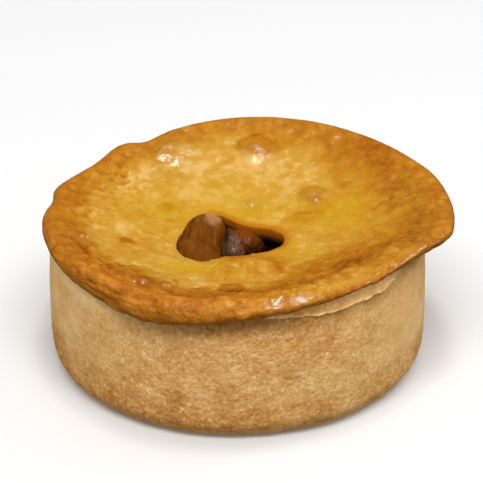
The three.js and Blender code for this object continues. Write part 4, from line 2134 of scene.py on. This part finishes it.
@dataclass
class Studio:
    """Pale floor, soft light and the camera; lengths in metres."""

    elevation: float = 28.5
    distance: float = 0.6
    target: Vector = (0.00106, 0.0, 0.0296)
    field_px: float = 2349.0
    frame_px: float = 483.0
    sensor: float = 36.0
    nearest: float = 0.01
    floor_size: float = 6.0
    floor_tone: Colour = (0.7, 0.7, 0.7)
    sky: float = 0.62
    ground: float = 0.34
    horizon: float = 0.2
    lamps: tuple[Lamp, ...] = (
        Lamp("lamp_above", (0.03, -0.02, 1.05), 0.18, 0.18, 2.4),
        Lamp("lamp_front", (0.0, -0.58, 1.1), 1.1, 0.42, 12.2),
        Lamp("lamp_side", (0.95, 0.4, 0.75), 0.4, 0.4, 2.0),
    )

    def add_floor(self) -> bpy.types.Object:
        """Lay the pale floor under the pie.

        Returns:
            The floor's object.
        """
        half = 0.5 * self.floor_size
        corners = [(-half, -half, 0.0), (half, -half, 0.0), (half, half, 0.0), (-half, half, 0.0)]
        mesh = bpy.data.meshes.new("floor")
        mesh.from_pydata(corners, [], [(0, 1, 2, 3)])
        floor = bpy.data.objects.new("floor", mesh)
        bpy.context.scene.collection.objects.link(floor)
        graph = Graph(bpy.data.materials.new("pale_floor"))
        mesh.materials.append(graph.finish({"Base Color": (*self.floor_tone, 1.0), "Roughness": 0.9}))
        floor.visible_diffuse = False
        floor.visible_glossy = False
        floor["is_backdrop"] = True
        return floor

    def add_light(self) -> None:
        """Add an even sky over a dimmer ground, and the lamps."""
        world = bpy.data.worlds.new("soft_sky")
        bpy.context.scene.world = world
        world.cycles_visibility.glossy = False
        graph = Graph(world)
        rise = graph.node("ShaderNodeSeparateXYZ", None, {0: graph.coordinates["Generated"]}).outputs["Z"]
        span = {0: rise, 1: -self.horizon, 2: self.horizon, 3: self.ground, 4: self.sky}
        level = graph.node("ShaderNodeMapRange", None, span).outputs[0]
        white = (1.0, 1.0, 1.0, 1.0)
        sky = graph.node("ShaderNodeBackground", None, {"Color": white, "Strength": level})
        graph.node("ShaderNodeOutputWorld", None, {"Surface": sky.outputs["Background"]})
        for lamp in self.lamps:
            data = bpy.data.lights.new(lamp.name, "AREA")
            data.shape = "RECTANGLE"
            data.size = lamp.width
            data.size_y = lamp.depth
            data.energy = lamp.power
            made = bpy.data.objects.new(lamp.name, data)
            made.location = lamp.place
            toward = np.asarray(self.target) - np.asarray(lamp.place)
            flat = math.hypot(toward[0], toward[1])
            made.rotation_euler = (math.atan2(flat, -toward[2]), 0.0, math.atan2(-toward[0], toward[1]))
            bpy.context.scene.collection.objects.link(made)

    def add_camera(self) -> bpy.types.Object:
        """Add the camera at its elevation, looking along +Y at the target.

        Returns:
            The camera's object.
        """
        tilt = math.radians(self.elevation)
        data = bpy.data.cameras.new("camera")
        data.sensor_width = self.sensor
        data.lens = self.sensor * self.field_px / self.frame_px
        data.clip_start = self.nearest
        camera = bpy.data.objects.new("camera", data)
        back = self.distance * math.cos(tilt)
        rise = self.distance * math.sin(tilt)
        camera.location = (self.target[0], self.target[1] - back, self.target[2] + rise)
        camera.rotation_euler = (UPRIGHT - tilt, 0.0, 0.0)
        bpy.context.scene.collection.objects.link(camera)
        bpy.context.scene.camera = camera
        return camera

    def build(self) -> None:
        """Set up the whole studio."""
        self.add_floor()
        self.add_light()
        self.add_camera()
        bpy.context.scene.view_settings.view_transform = "Standard"


def write_sizes() -> None:
    """Put the solids' box and the dressed pie's box side by side as plain lists; nothing is written."""
    boxes = {"cad": CAD_BOX, "visual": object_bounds()}
    plain = {key: [[float(v) for v in corner] for corner in box] for key, box in boxes.items()}


def main() -> None:
    """Build the pie's pieces and the studio, and report each piece."""
    logging.basicConfig(level=logging.INFO, format="%(name)s: %(message)s")
    form = PieForm()
    pieces = [PastryCase(form).build(), PastryLid(form).build(), *Filling(form).build()]
    for piece in pieces:
        LOG.info("%s has %d faces", piece.name, len(piece.data.polygons))
    Studio().build()
    write_sizes()


if __name__ == "__main__":
    main()
